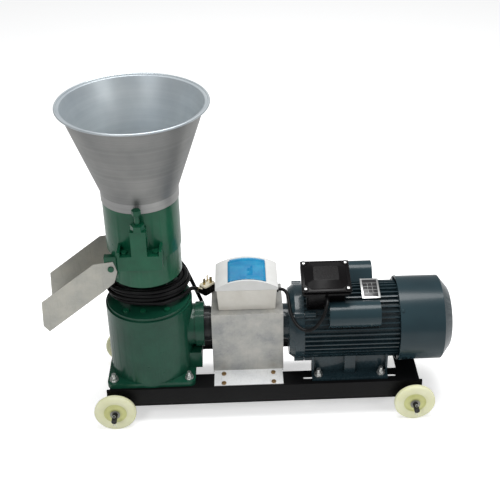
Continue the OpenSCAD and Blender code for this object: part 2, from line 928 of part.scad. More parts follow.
module main_shaft() machine("#8d9296") {
  gear_seat_z = gear_hub_z;
  difference() {
    union() {
      translate([0, 0, bottom_bearing_z - overrun])
        rod(lower_journal_radius, gear_seat_z - bottom_bearing_z + overrun);
      translate([0, 0, gear_seat_z]) rod(press_shaft_radius, shaft_shoulder_z - gear_seat_z);
      translate([0, 0, shaft_shoulder_z]) rod(die_seat_radius, shaft_top - shaft_shoulder_z);
      translate([die_seat_radius - key_depth, -key_width / 2, die_bottom + 2])
        cube([2 * key_depth, key_width, die_thickness - 4]);
    }
    translate([0, 0, shaft_top - 6]) pin(4, 6 + overrun);
  }
}

gear_hub_z = bottom_bearing_z + lower_bearing[2] + 3;

function involute(angle) = tan(angle) * 180 / PI - angle;

// Half the angle that a tooth takes at a radius of the spur gear with the same flanks.
function half_tooth(radius, pitch_radius, teeth) =
  let (base = pitch_radius * cos(pressure_angle),
    at = acos(min(1, base / max(radius, base))))
  90 / teeth * (1 - backlash_share) + involute(pressure_angle) - involute(at);

// One loop of tooth outlines on the back cone, shrunk toward the apex by a share.
function tooth_loop(teeth, pitch_radius, cone_angle, top, root, share) =
  let (flat_radius = pitch_radius / cos(cone_angle),
    flat_teeth = teeth / cos(cone_angle),
    heights = [-root, -root * 0.5, 0, top * 0.6, top, top, top * 0.6, 0, -root * 0.5, -root])
  [
    for (tooth = [0 : teeth - 1], k = [0 : len(heights) - 1])
      let (h = heights[k],
        side = k < len(heights) / 2 ? -1 : 1,
        out = pitch_radius + h * cos(cone_angle),
        across = half_tooth(flat_radius + h, flat_radius, flat_teeth)
          * (flat_radius + h) / out,
        angle = tooth * turn / teeth + side * across,
        up = pitch_radius / tan(cone_angle) - h * sin(cone_angle))
      share * [out * cos(angle), out * sin(angle), up]
  ];

// Radii and heights of plain rings that carry the same number of points as the teeth.
function plain_loop(like, radius, height) = [
  for (p = like) let (r = norm([p[0], p[1]])) [p[0] * radius / r, p[1] * radius / r, height]
];

// A ring-shaped solid skinned over loops that close on themselves.
module loop_skin(loops) {
  count = len(loops[0]);
  rows = len(loops);
  points = [for (l = loops) each l];
  faces = [
    for (i = [0 : rows - 1], k = [0 : count - 1])
      let (j = (i + 1) % rows, n = (k + 1) % count)
      each [
        [i * count + k, i * count + n, j * count + k],
        [i * count + n, j * count + n, j * count + k]
      ]
  ];
  polyhedron(points, faces);
}

// A straight bevel gear about +Z whose apex is at the origin and whose teeth lie above it.
module bevel(teeth, pitch_radius, cone_angle, top, back, bore, nose) {
  root = gear_module * dedendum_share;
  small = (cone_distance - tooth_face) / cone_distance;
  large_loop = tooth_loop(teeth, pitch_radius, cone_angle, top, root, 1);
  small_loop = tooth_loop(teeth, pitch_radius, cone_angle, top, root, small);
  pitch_height = pitch_radius / tan(cone_angle);
  root_radius = pitch_radius - root * cos(cone_angle);
  back_height = pitch_height + root * sin(cone_angle) + back;
  nose_height = small * (pitch_height + root * sin(cone_angle)) - nose;
  loop_skin([
    plain_loop(large_loop, bore, back_height),
    plain_loop(large_loop, root_radius - 1, back_height),
    large_loop,
    small_loop,
    plain_loop(small_loop, bore, nose_height)
  ]);
}

module bevel_gear() machine("#7d8286") {
  nose_z = drive_z - gear_nose_height;
  translate([0, 0, drive_z]) rotate([turn / 2, 0, 0])
    bevel(gear_teeth, gear_pitch_radius, gear_angle, gear_module * gear_addendum_share,
      gear_back, gear_hub_radius - 3, 1);
  translate([0, 0, gear_hub_z]) ring(gear_hub_radius, press_shaft_radius + running_clearance,
    nose_z - gear_hub_z - 1);
}

gear_nose_height = (cone_distance - tooth_face) / cone_distance
  * (gear_pitch_radius / tan(gear_angle) + gear_module * dedendum_share * sin(gear_angle)) - 1;
pinion_back = 5;
pinion_back_x = pinion_pitch_radius / tan(pinion_angle)
  + gear_module * dedendum_share * sin(pinion_angle) + pinion_back;
pinion_core_share = 0.32;

module pinion_shaft() machine("#84898d") {
  core = pinion_pitch_radius * pinion_core_share;
  along_x(0) rotate([0, 0, turn / pinion_teeth / 2])
    bevel(pinion_teeth, pinion_pitch_radius, pinion_angle,
      gear_module * pinion_addendum_share, pinion_back, core, 0);
  along_x(pinion_nose_x) pin(core + 1, pinion_back_x - pinion_nose_x);
  along_x(pinion_back_x - overrun)
    rod(drive_shaft_radius, pinion_shaft_end - pinion_back_x + overrun);
}

pinion_nose_x = (cone_distance - tooth_face) / cone_distance
  * (pinion_back_x - pinion_back) + 1;

// press

module lug_blocks(z, height) {
  translate([-lug_width / 2, -lug_reach, z]) cube([lug_width, 2 * lug_reach, height]);
}

module lug_bolt_holes(z, height) {
  translate([0, 0, z - overrun]) corners(lug_bolt_x, lug_bolt_y)
    pin(m8_radius + loose_clearance, height + 2 * overrun);
}

module die_chamber() machine("#1f6546") {
  difference() {
    union() {
      translate([0, 0, neck_top]) rod(chamber_radius, chamber_height);
      translate([0, 0, chamber_top - rim_height]) rod(barrel_radius, rim_height);
      lug_blocks(chamber_top - lug_thickness, lug_thickness);
      for (side = [-1, 1]) ear(side);
    }
    translate([0, 0, neck_top + chamber_floor]) rod(barrel_bore, chamber_height);
    translate([0, 0, neck_top - overrun])
      rod(press_shaft_radius + 2, chamber_floor + 2 * overrun);
    translate([-chamber_radius - ear_length, -discharge_width / 2, discharge_bottom])
      cube([chamber_radius + ear_length, discharge_width, discharge_height]);
    lug_bolt_holes(chamber_top - lug_thickness, lug_thickness);
    for (side = [-1, 1])
      translate([ear_screw_x, side * (chute_width / 2 + overrun), ear_screw_z])
        rotate([side * quarter, 0, 0]) pin(m8_radius + loose_clearance, ear_thickness);
  }
}

module ear(side) {
  translate([-ear_far, side > 0 ? chute_width / 2 - ear_thickness : -chute_width / 2, ear_bottom])
    cube([ear_length, ear_thickness, ear_top - ear_bottom]);
}

module roller_housing() machine("#1f6546") {
  slot_half = roller_shaft_radius + loose_clearance;
  difference() {
    union() {
      translate([0, 0, chamber_top]) rod(barrel_radius, roller_housing_height);
      lug_blocks(chamber_top, lug_thickness);
      translate([-stem_width / 2, -lug_reach, chamber_top])
        cube([stem_width, 2 * lug_reach, stem_top - chamber_top]);
      for (side = [0, 1]) mirror([side, 0, 0])
        translate([lug_width / 2 - lug_wing_wall, -lug_reach, chamber_top])
          cube([lug_wing_wall, 2 * lug_reach, lug_thickness + lug_wing]);
    }
    translate([0, 0, chamber_top - overrun])
      rod(barrel_bore, roller_housing_height + 2 * overrun);
    lug_bolt_holes(chamber_top, lug_thickness);
    translate([0, 0, chamber_top - overrun])
      linear_extrude(roller_z + roller_lift - chamber_top + overrun)
        square([2 * slot_half, 2 * (shaft_end + 1)], center = true);
    translate([0, 0, roller_z + roller_lift]) rotate([quarter, 0, 0])
      pin(slot_half, 2 * (shaft_end + 1), true);
    for (side = [-1, 1]) translate([0, side * adjuster_offset, roller_z])
      pin(adjuster_radius + loose_clearance, stem_top - roller_z + overrun);
  }
}

// Hexagonal lattice of pellet holes outside a plain hexagon and inside the rim.
function die_hole_places() =
  let (pitch = pellet_hole_pitch, rows = ceil(die_radius / (pitch * sin(60))),
    limit = die_radius - die_rim - pellet_hole_radius)
  [
    for (row = [-rows : rows], col = [-rows * 2 : rows * 2])
      let (x = (col + (row % 2 == 0 ? 0 : 0.5)) * pitch, y = row * pitch * sin(60),
        reach = max([for (a = [0, 60, 120]) abs(x * cos(a) + y * sin(a))]))
      if (norm([x, y]) < limit && reach > die_keep_out) [x, y]
  ];

module flat_die() machine("#3f5f9e") {
  translate([0, 0, die_bottom]) linear_extrude(die_thickness) difference() {
    circle(r = die_radius, $fn = round_facets);
    circle(r = die_seat_radius + running_clearance, $fn = round_facets);
    translate([0, -key_width / 2 - running_clearance])
      square([die_seat_radius + key_depth + running_clearance,
        key_width + 2 * running_clearance]);
    for (side = [-1, 1]) translate([0, side * jack_hole_place])
      circle(r = jack_hole_radius, $fn = small_facets);
    for (place = die_hole_places()) translate(place)
      circle(r = pellet_hole_radius, $fn = 14);
  }
}

module discharge_disc() machine("#80868a") {
  bore = press_shaft_radius + running_clearance;
  translate([0, 0, disc_z]) difference() {
    union() {
      rod(disc_radius, disc_thickness);
      rod(disc_hub_radius, disc_hub_height);
      around(vane_count, disc_hub_radius - 2)
        translate([0, -vane_width / 2, 0])
          cube([disc_radius - disc_hub_radius, vane_width, vane_height]);
    }
    translate([0, 0, -overrun]) rod(bore, vane_height + 2 * overrun);
  }
}

module die_nut() machine("#9a9ea1") {
  translate([0, 0, die_top]) difference() {
    hexagon(nut_af, nut_height);
    translate([0, 0, -overrun])
      rod(die_seat_radius + running_clearance, nut_height + 2 * overrun);
  }
}

module roller_shaft() machine("#8d9296") {
  flat = roller_shaft_radius - shaft_flat;
  translate([0, 0, roller_z]) difference() {
    union() {
      rotate([quarter, 0, 0]) rod(roller_shaft_radius, 2 * shaft_end, true);
      rotate([quarter, 0, 0])
        rod(bush_radius, 2 * (roller_offset - bush_flange - seat_gap), true);
    }
    for (side = [-1, 1])
      translate([0, side * (shaft_end + adjuster_offset - 8) / 2, shaft_flat + flat])
        cube([4 * roller_shaft_radius, shaft_end - adjuster_offset + 8 + overrun,
          2 * flat], center = true);
  }
}

module roller(side) {
  bore = bush_radius + running_clearance;
  translate([0, side * roller_offset, roller_z]) rotate([-side * quarter, 0, 0])
    linear_extrude(roller_width) difference() {
      circle(r = roller_radius, $fn = round_facets);
      circle(r = bore, $fn = round_facets);
      for (i = [0 : roller_grooves - 1]) rotate(i * turn / roller_grooves)
        translate([roller_radius, 0]) circle(r = groove_radius, $fn = 6);
    }
}

module front_roller() machine("#767b7f") roller(-1);

module rear_roller() machine("#767b7f") roller(1);

module roller_bushes() machine("#b08d4a") {
  for (side = [-1, 1])
    translate([0, side * (roller_offset - bush_flange), roller_z])
      rotate([-side * quarter, 0, 0]) difference() {
        union() {
          rod(bush_flange_radius, bush_flange - seat_gap);
          rod(bush_radius, roller_width + bush_flange);
          translate([0, 0, roller_width + bush_flange + seat_gap])
            rod(bush_flange_radius, bush_flange);
          rod(bush_radius, roller_width + 2 * bush_flange);
        }
        translate([0, 0, -overrun])
          rod(roller_shaft_radius + running_clearance, roller_width + 3 * bush_flange + 2 * overrun);
      }
}

module adjusting_bolt(side) {
  translate([0, side * adjuster_offset, 0]) {
    translate([0, 0, adjuster_tip + seat_gap])
      pin(adjuster_radius, adjuster_head_z - adjuster_tip);
    translate([0, 0, adjuster_head_z]) hexagon(adjuster_af, adjuster_head);
  }
}

module front_adjusting_bolt() machine("#236b4b") adjusting_bolt(-1);

module rear_adjusting_bolt() machine("#236b4b") adjusting_bolt(1);

module housing_bolts() machine("#236b4b") {
  corners(lug_bolt_x, lug_bolt_y) translate([0, 0, chamber_top + lug_thickness]) {
    stud(m8_radius, m8_af, 2 * lug_thickness, 0);
    translate([0, 0, -2 * lug_thickness - m8_radius * 2 * head_share])
      hexagon(m8_af, m8_radius * 2 * head_share);
  }
  for (side = [-1, 1]) {
    translate([0, side * adjuster_offset, stem_top]) difference() {
      hexagon(locknut_af, locknut_height);
      translate([0, 0, -overrun])
        pin(adjuster_radius + loose_clearance, locknut_height + 2 * overrun);
    }
    translate([ear_screw_x, side * (chute_width / 2 + chute_sheet), ear_screw_z])
      rotate([-side * quarter, 0, 0]) {
        translate([0, 0, -chute_sheet - ear_thickness + 2])
          pin(m8_radius, chute_sheet + ear_thickness);
        pin(ear_screw_radius, 3);
      }
  }
}

// A spun funnel: skirt, shoulder seated on the roller housing, cone and rolled rim.
module hopper() machine("#a3a8ac") {
  inner = barrel_radius + loose_clearance;
  t = hopper_sheet;
  shoulder = barrel_bore + 4;
  cone_foot = roller_top + t;
  rim_z = hopper_top - t - bead_radius;
  rotate_extrude($fn = 96) union() {
    polygon([
      [inner, roller_top - skirt_depth], [inner + t, roller_top - skirt_depth],
      [inner + t, cone_foot + t],
      [hopper_mouth_radius + t, rim_z],
      [hopper_rim_radius - bead_radius, rim_z],
      [hopper_rim_radius - bead_radius, rim_z + t],
      [hopper_mouth_radius, rim_z + t],
      [shoulder, cone_foot + t], [shoulder, roller_top], [inner, roller_top]
    ]);
    translate([hopper_rim_radius - bead_radius, hopper_top - bead_radius])
      circle(r = bead_radius, $fn = 20);
  }
}

bead_radius = 2.6;

// chute

function chute_side() =
  let (near = -ear_near, top = discharge_bottom + 50.3, far = -chute_far)
  [
    [near - 7, top], [near - 51.6, top - 6], [far + 3.5, top - 105.9],
    [far, top - 171.8], [far + 12.5, top - 188.7], [near - 34.9, top - 80.6],
    [near - 8.2, top - 56.4], [near + 0.8, top - 26.9], [near - 3.2, top - 12.4]
  ];

module chute_plate(side) {
  y = side > 0 ? chute_width / 2 + chute_sheet : -chute_width / 2;
  translate([0, y, 0]) rotate([quarter, 0, 0]) linear_extrude(chute_sheet) difference() {
    polygon(chute_side());
    translate([ear_screw_x, ear_screw_z]) circle(r = m8_radius + loose_clearance, $fn = small_facets);
  }
}

module discharge_chute() machine("#a9adaf") {
  low = chute_side();
  run = low[5] - low[4];
  steep = atan2(run[1], run[0]);
  step = low[6] - low[5];
  for (side = [-1, 1]) chute_plate(side);
  translate([low[4][0], 0, low[4][1]]) rotate([0, -steep, 0])
    translate([0, -chute_width / 2 - chute_sheet / 2, 0])
      cube([norm(run), chute_width + chute_sheet, chute_sheet]);
  difference() {
    translate([low[5][0], 0, low[5][1]]) rotate([0, -atan2(step[1], step[0]), 0])
      translate([0, -chute_width / 2 - chute_sheet / 2, 0])
        cube([norm(step), chute_width + chute_sheet, chute_sheet]);
    translate([0, 0, neck_top - chute_sheet]) rod(chamber_radius + seat_gap, chamber_height);
  }
}

// coupling and its guard

module coupling_half(bore, side) {
  fit = bore + running_clearance;
  face = coupling_middle + side * coupling_gap / 2;
  translate([face, 0, drive_z]) rotate([0, side * quarter, 0]) difference() {
    union() {
      rod(coupling_radius, coupling_flange);
      rod(coupling_hub_radius, coupling_flange + coupling_hub_length);
    }
    translate([0, 0, -overrun]) rod(fit, coupling_flange + coupling_hub_length + 2 * overrun);
    translate([0, 0, -overrun]) around(coupling_pin_count, pin_circle, turn / 8)
      pin(side < 0 ? sleeve_radius + running_clearance : pin_radius + running_clearance, coupling_flange + 2 * overrun);
  }
}

module gearbox_coupling_half() machine("#2c2f31") coupling_half(drive_shaft_radius, -1);

module motor_coupling_half() machine("#2c2f31") coupling_half(motor_shaft_radius, 1);

// Pins fixed in the motor half, with rubber sleeves in the gearbox half.
module coupling_pins() machine("#6d7174") {
  start = coupling_middle - coupling_gap / 2 - sleeve_length;
  end = coupling_middle + coupling_gap / 2 + coupling_flange + 6;
  along_x(start) around(coupling_pin_count, pin_circle, turn / 8) {
    pin(sleeve_radius, sleeve_length);
    pin(pin_radius, end - start);
  }
}

module guard_bolt_places(z) {
  for (x = [-1, 1], y = guard_bolt_rows)
    translate([guard_offset + x * guard_bolt_offset, y, z]) children();
}

module across(x, length) {
  translate([x, 0, 0]) rotate([quarter, 0, quarter]) linear_extrude(length) children();
}

module coupling_guard() machine("#a7abab") {
  start = guard_offset - guard_length / 2;
  wide = guard_front + guard_back;
  difference() {
    across(start, guard_length) {
      translate([-guard_front - guard_foot, frame_top]) square([guard_foot, guard_sheet]);
      translate([-guard_front, frame_top]) square([guard_sheet, guard_height]);
      translate([-guard_front, guard_top - guard_sheet]) square([wide, guard_sheet]);
      translate([guard_back - guard_sheet, frame_top]) square([guard_sheet, guard_height]);
      translate([guard_back - guard_sheet, frame_top])
        square([guard_back_foot + guard_sheet, guard_sheet]);
    }
    guard_bolt_places(frame_top - overrun)
      pin(m6_radius + loose_clearance, guard_sheet + 2 * overrun);
    for (x = [start, start + guard_length - guard_notch])
      translate([x - overrun * (x == start ? 1 : 0), -guard_front - guard_foot - overrun,
        frame_top - overrun])
        cube([guard_notch + overrun, guard_foot - guard_notch, guard_sheet + 2 * overrun]);
  }
}

module guard_bolts() machine("#8d7a4c") {
  guard_bolt_places(frame_top + guard_sheet) {
    stud(m6_radius, m6_af, guard_sheet + rail_wall, 0);
    translate([0, 0, -guard_sheet - rail_wall - m6_radius * 2 * head_share])
      hexagon(m6_af, m6_radius * 2 * head_share);
  }
}

// switch box

module box_slice(back, depth) {
  translate([0, back, 0]) rotate([quarter, 0, 0]) linear_extrude(depth) children();
}

module tray_profile(inset, lift) {
  polygon([
    [guard_offset - tray_width / 2 + inset, tray_bottom + lift],
    [guard_offset + tray_width / 2 - inset, tray_bottom + lift],
    [guard_offset + tray_top_width / 2 - inset, tray_top + lift],
    [guard_offset - tray_top_width / 2 + inset, tray_top + lift]
  ]);
}

module switch_box_tray() machine("#cfccc0") {
  difference() {
    box_slice(box_back, box_depth) tray_profile(0, 0);
    box_slice(box_back - box_wall, box_depth - 2 * box_wall) tray_profile(box_wall, box_wall);
    along_x(guard_offset, lead_exit_y, lead_exit_z)
      pin(grommet_radius + loose_clearance, tray_top_width);
  }
}

module arch_profile(inset) {
  half = box_cover_width / 2 - inset;
  intersection() {
    translate([guard_offset, cover_arch_centre])
      circle(r = cover_arch_radius - inset, $fn = 180);
    translate([guard_offset - half, tray_top - (inset > 0 ? overrun : 0)])
      square([2 * half, cover_edge + cover_rise + 2 * overrun]);
  }
}

module window_block(grow, low, high) {
  translate([window_x - window_width / 2 - grow, window_front - grow, low])
    cube([window_width + 2 * grow, window_depth + 2 * grow, high - low]);
}

module switch_box_cover() machine("#e4e3de") {
  high = cover_spring_z + cover_rise + overrun;
  difference() {
    union() {
      difference() {
        box_slice(box_back, box_depth) arch_profile(0);
        box_slice(box_back - box_wall, box_depth - 2 * box_wall) arch_profile(box_wall);
      }
      intersection() {
        box_slice(box_back, box_depth) arch_profile(0);
        window_block(well_wall, window_floor, high);
      }
    }
    window_block(0, window_floor + well_wall, high);
    translate([breaker_x - breaker_nose_width / 2 - loose_clearance,
      breaker_y - breaker_depth / 2 - loose_clearance, window_floor - overrun])
      cube([breaker_nose_width + 2 * loose_clearance, breaker_depth + 2 * loose_clearance,
        well_wall + 2 * overrun]);
    flap_pins(flap_pin_radius + running_clearance, flap_gap + 1.5);
  }
}

flap_pin_x = window_x - window_width / 2 + flap_gap + 2;
flap_pin_z = cover_arch_centre
  + sqrt(pow(cover_arch_radius, 2) - pow(flap_pin_x - guard_offset, 2)) - 1;

// Pins at both ends of the flap's left edge, reaching past it by a length.
module flap_pins(radius, reach) {
  translate([flap_pin_x, window_front + flap_gap - reach, flap_pin_z])
    rotate([-quarter, 0, 0]) pin(radius, window_depth - 2 * flap_gap + 2 * reach);
}

module switch_flap() machine("#2f9fd0") {
  intersection() {
    box_slice(box_back, box_depth) difference() {
      arch_profile(0);
      translate([guard_offset, cover_arch_centre])
        circle(r = cover_arch_radius - flap_thickness, $fn = 180);
    }
    window_block(-flap_gap, window_floor, cover_spring_z + cover_rise + overrun);
  }
  flap_pins(flap_pin_radius, 1.2 + flap_gap);
}

module circuit_breaker() machine("#d9d9d5") {
  floor_z = tray_bottom + box_wall;
  difference() {
    union() {
      translate([breaker_x - breaker_length / 2, breaker_y - breaker_depth / 2, floor_z])
        cube([breaker_length, breaker_depth, breaker_body_top - floor_z]);
      translate([breaker_x - breaker_nose_width / 2, breaker_y - breaker_depth / 2, floor_z])
        cube([breaker_nose_width, breaker_depth, breaker_nose_top - floor_z]);
    }
    for (side = [-1, 1]) toggle_barrel(side, loose_clearance, toggle_lever_width
      + 2 * loose_clearance);
  }
}

toggle_lever_width = 10;
toggle_tilt = 20;

module toggle_barrel(side, grow, width) {
  translate([breaker_x, breaker_y + side * breaker_depth / 4 - width / 2, toggle_pivot_z])
    rotate([-quarter, 0, 0]) pin(toggle_radius + grow, width);
}

// Two levers on their barrels, joined by a bar that ends inside them.
module breaker_toggle() machine("#1d3f66") {
  for (side = [-1, 1])
    translate([breaker_x, breaker_y + side * breaker_depth / 4, toggle_pivot_z])
      rotate([quarter, 0, 0]) linear_extrude(toggle_lever_width, center = true) {
        circle(r = toggle_radius, $fn = small_facets);
        rotate(-toggle_tilt) translate([-toggle_thickness / 2, 0])
          square([toggle_thickness, toggle_radius + toggle_height]);
      }
  translate([breaker_x, breaker_y, toggle_pivot_z]) rotate([0, toggle_tilt, 0])
    translate([-toggle_bar / 2, -breaker_depth / 4, toggle_radius + toggle_bar_gap])
      cube([toggle_bar, breaker_depth / 2, toggle_bar]);
}

// cord exits

lead_exit_y = -8;
lead_exit_z = tray_top - 13;
grommet_radius = 7;
grommet_length = 12;
lead_exit_x = guard_offset + tray_top_width / 2 + 4;
mains_exit = [guard_offset - 43, box_back, tray_bottom + 24];
gland_foot = 6;
gland_length = 22;
gland_radius = 9;
terminal_exit_height = terminal_height - lid_plate - grommet_radius - seat_gap;
terminal_grommet = 4;

module at_terminal() {
  translate([terminal_x, 0, drive_z]) rotate([terminal_tilt, 0, 0]) children();
}

module cable_glands() machine("#242424") {
  along_x(lead_exit_x - grommet_length, lead_exit_y, lead_exit_z)
    pin(grommet_radius, grommet_length);
  translate(mains_exit) rotate([-quarter, 0, 0]) {
    pin(gland_radius, gland_foot);
    translate([0, 0, gland_foot])
      cylinder(r1 = gland_radius - 1, r2 = mains_radius + 1, h = gland_length - gland_foot,
        $fn = small_facets);
  }
  at_terminal() translate([0, -terminal_base_width / 2, terminal_exit_height])
    rotate([quarter, 0, 0]) pin(grommet_radius, terminal_grommet);
}

// motor

module fins() {
  for (i = [0 : fin_count - 1]) rotate((i + 0.5) * turn / fin_count)
    translate([core_radius - 2, -fin_thickness / 2])
      square([fin_depth + 2, fin_thickness]);
}

module foot_leg(side) {
  mirror([side < 0 ? 1 : 0, 0]) translate([foot_leg_face - foot_leg_wall, frame_top])
    square([foot_leg_wall, drive_z - core_radius / 2 - frame_top]);
}

module foot_rib_profile(side) {
  mirror([side < 0 ? 1 : 0, 0]) polygon([
    [foot_leg_face - 1, frame_top + foot_thickness - 1],
    [pedestal_face, frame_top + foot_thickness - 1],
    [pedestal_face, drive_z - core_radius * 0.6],
    [foot_leg_face - 1, drive_z - core_radius * 0.5]
  ]);
}

foot_leg_face = 68;
foot_leg_wall = 9;
frame_boss_length = 26;
shield_bolt_first = 45;

module motor_frame() machine("#35474d") {
  foot_start = foot_middle - foot_length / 2;
  difference() {
    union() {
      across(motor_body_start, body_length) translate([0, drive_z]) {
        circle(r = core_radius, $fn = round_facets);
        fins();
      }
      across(foot_start, foot_length) for (side = [-1, 1]) foot_leg(side);
      across(foot_start, foot_length) for (side = [-1, 1])
        translate([side > 0 ? foot_leg_face - foot_leg_wall : -foot_width / 2, frame_top])
          square([foot_width / 2 - foot_leg_face + foot_leg_wall, foot_thickness]);
      for (rib = [[foot_start, foot_end_rib],
          [foot_middle - foot_rib / 2, foot_rib],
          [foot_start + foot_length - foot_end_rib, foot_end_rib]])
        across(rib[0], rib[1]) for (side = [-1, 1]) foot_rib_profile(side);
      along_x(motor_body_start) around(4, ear_circle, shield_bolt_first)
        pin(ear_radius, frame_boss_length);
    }
    along_x(motor_body_start - overrun) rod(body_bore, body_length + 2 * overrun);
    along_x(motor_body_start - overrun) around(4, ear_circle, shield_bolt_first)
      pin(m6_radius + loose_clearance, frame_boss_length - 6);
    for (x = [0, foot_bolt_pitch], y = [-1, 1])
      translate([motor_bolt_x + x, y * bolt_gauge / 2, frame_top - overrun])
        pin(m10_radius + loose_clearance, foot_thickness + 2 * overrun);
  }
}

module drive_end_shield() machine("#35474d") {
  seat = shield_length - drive_end_bearing[2];
  hub = drive_end_bearing[1] + 8;
  along_x(motor_offset) difference() {
    union() {
      cylinder(r1 = shield_radius - shield_step * 0.7, r2 = shield_radius, h = shield_step,
        $fn = round_facets);
      translate([0, 0, shield_step]) rod(shield_radius, shield_length - shield_step);
      translate([0, 0, -shield_nose]) rod(shield_nose_radius - 5, shield_nose + overrun);
      around(4, ear_circle, shield_bolt_first)
        translate([0, 0, ear_start]) pin(ear_radius, ear_end - ear_start);
    }
    difference() {
      translate([0, 0, shield_step]) rod(shield_radius - shield_wall, shield_length);
      rod(hub, shield_length);
    }
    translate([0, 0, seat]) rod(drive_end_bearing[1] + running_clearance, shield_length);
    translate([0, 0, -shield_nose - overrun])
      rod(motor_shaft_radius + 1, shield_length + shield_nose);
    around(4, ear_circle, shield_bolt_first) {
      pin(m6_radius + loose_clearance, shield_length + overrun);
      translate([0, 0, -overrun]) pin(m6_af * head_share, ear_face + overrun);
    }
  }
}

shield_nose = 20;
fan_shield_wall = 7;
fan_lug_width = 16;

module fan_end_shield() machine("#33444a") {
  hub = drive_end_bearing[1] + 8;
  reach = fan_cover_radius - fan_sheet - loose_clearance;
  along_x(motor_body_end) difference() {
    union() {
      rod(core_radius, fan_shield_wall);
      rod(hub, fan_shield_length);
      intersection() {
        around(4, 0, turn / 8) translate([core_radius - 6, -fan_lug_width / 2, 0])
          cube([fan_lug_width * 2, fan_lug_width, fan_shield_wall]);
        rod(reach, fan_shield_wall);
      }
    }
    translate([0, 0, -overrun]) rod(drive_end_bearing[1] + running_clearance, drive_end_bearing[2] + overrun);
    rod(motor_shaft_radius + 1, fan_shield_length + overrun);
  }
}

module stator() machine("#8a6f55") {
  along_x(stator_start) {
    ring(body_bore - running_clearance, stator_bore, stator_length);
    for (z = [-winding_overhang, stator_length])
      translate([0, 0, z]) ring(body_bore - 5, stator_bore + 4, winding_overhang);
  }
}

module rotor_shaft() machine("#85898c") {
  along_x(motor_shaft_start) rod(motor_shaft_radius, rotor_shaft_end - motor_shaft_start);
  along_x(stator_start) rod(rotor_radius, stator_length);
}

module cooling_fan() machine("#26292b") {
  along_x(fan_start) difference() {
    union() {
      rod(fan_hub_radius, fan_length);
      rod(fan_radius, blade_thickness);
      around(blade_count, fan_hub_radius - 2)
        translate([0, -blade_thickness / 2, 0])
          cube([fan_radius - fan_hub_radius, blade_thickness, fan_length - 6]);
    }
    translate([0, 0, -overrun]) rod(motor_shaft_radius + running_clearance, fan_length + 2 * overrun);
  }
}

module grille() {
  difference() {
    circle(r = fan_cover_end_radius, $fn = round_facets);
    difference() {
      for (r = grille_rings) difference() {
        circle(r = r + grille_slot / 2, $fn = 48);
        circle(r = r - grille_slot / 2, $fn = 48);
      }
      for (i = [0 : grille_spokes - 1]) rotate(i * turn / grille_spokes)
        translate([0, -grille_spoke / 2]) square([fan_cover_end_radius, grille_spoke]);
    }
  }
}

module fan_cover() machine("#35474d") {
  straight = fan_cover_length - fan_cover_slope;
  t = fan_sheet;
  along_x(motor_body_end) {
    rotate_extrude($fn = 96) polygon([
      [fan_cover_radius, 0], [fan_cover_radius, straight],
      [fan_cover_end_radius + 2 * t, fan_cover_length - 2 * t],
      [fan_cover_end_radius, fan_cover_length],
      [fan_cover_end_radius - t, fan_cover_length],
      [fan_cover_end_radius - t, fan_cover_length - t],
      [fan_cover_end_radius + t, fan_cover_length - 3 * t],
      [fan_cover_radius - t, straight - t / 2], [fan_cover_radius - t, 0]
    ]);
    translate([0, 0, fan_cover_length - t]) linear_extrude(t) grille();
  }
}

module terminal_base(grow) {
  foot = body_radius * 0.8;
  translate([0, 0, foot]) plate(terminal_base_length + 2 * grow,
    terminal_base_width + 2 * grow, 6, terminal_height - foot);
}

module terminal_box() machine("#222224") {
  inner = [terminal_base_length - 2 * terminal_wall, terminal_base_width - 2 * terminal_wall];
  floor_h = body_radius + 6;
  difference() {
    at_terminal() difference() {
      union() {
        terminal_base(0);
        translate([0, 0, terminal_height - lid_plate])
          plate(lid_length, lid_width, lid_screw_inset, lid_plate);
      }
      translate([0, 0, floor_h])
        plate(inner[0], inner[1], 4, terminal_height - floor_h + overrun);
      translate([0, 0, terminal_height - lid_plate - overrun])
        corners(lid_length / 2 - lid_screw_inset, lid_width / 2 - lid_screw_inset)
          pin(lid_screw_radius + loose_clearance, lid_plate + 2 * overrun);
    }
    along_x(motor_body_start - overrun) rod(body_radius + seat_gap, body_length);
  }
}

lid_screw_radius = 2.5;
lid_screw_head = 4.5;

module terminal_box_lid() machine("#1f1f21") {
  difference() {
    at_terminal() translate([0, 0, terminal_height]) {
      plate(lid_length, lid_width, lid_screw_inset, lid_plate);
      translate([0, 0, lid_plate])
        linear_extrude(lid_rise, scale = [lid_top_share, lid_top_share * 0.8])
          square([lid_length - 3 * lid_screw_inset, lid_width - 2 * lid_screw_inset],
            center = true);
    }
    at_terminal() translate([0, 0, terminal_height - overrun])
      corners(lid_length / 2 - lid_screw_inset, lid_width / 2 - lid_screw_inset)
        pin(lid_screw_radius + loose_clearance, lid_plate + 2 * overrun);
  }
}

// Section of a capacitor cover that stands on the body, open toward +Y.
module capacitor_section(radius, reach, hollow) {
  difference() {
    union() {
      translate([0, reach]) circle(r = radius, $fn = round_facets);
      translate([-radius, 0]) square([2 * radius, reach]);
    }
    circle(r = body_radius + seat_gap, $fn = round_facets);
    if (hollow) translate([0, reach]) circle(r = radius - capacitor_wall, $fn = round_facets);
  }
}

module capacitor_cover(x, lean, reach, radius) {
  for (part = [[x, capacitor_wall, false],
      [x + capacitor_wall, capacitor_cover_length - 2 * capacitor_wall, true],
      [x + capacitor_cover_length - capacitor_wall, capacitor_wall, false]])
    across(part[0], part[1]) translate([0, drive_z]) rotate(lean)
      capacitor_section(radius, reach, part[2]);
}

rear_capacitor_lean = -atan2(rear_capacitor_place[0], rear_capacitor_place[1]);
rear_capacitor_reach = norm(rear_capacitor_place);

module capacitor_covers() machine("#35474d") {
  difference() {
    capacitor_cover(front_capacitor_x, front_capacitor_angle, front_capacitor_reach,
      front_capacitor_cover);
    at_terminal() terminal_base(seat_gap);
  }
  capacitor_cover(rear_capacitor_x, rear_capacitor_lean, rear_capacitor_reach,
    rear_capacitor_cover);
}

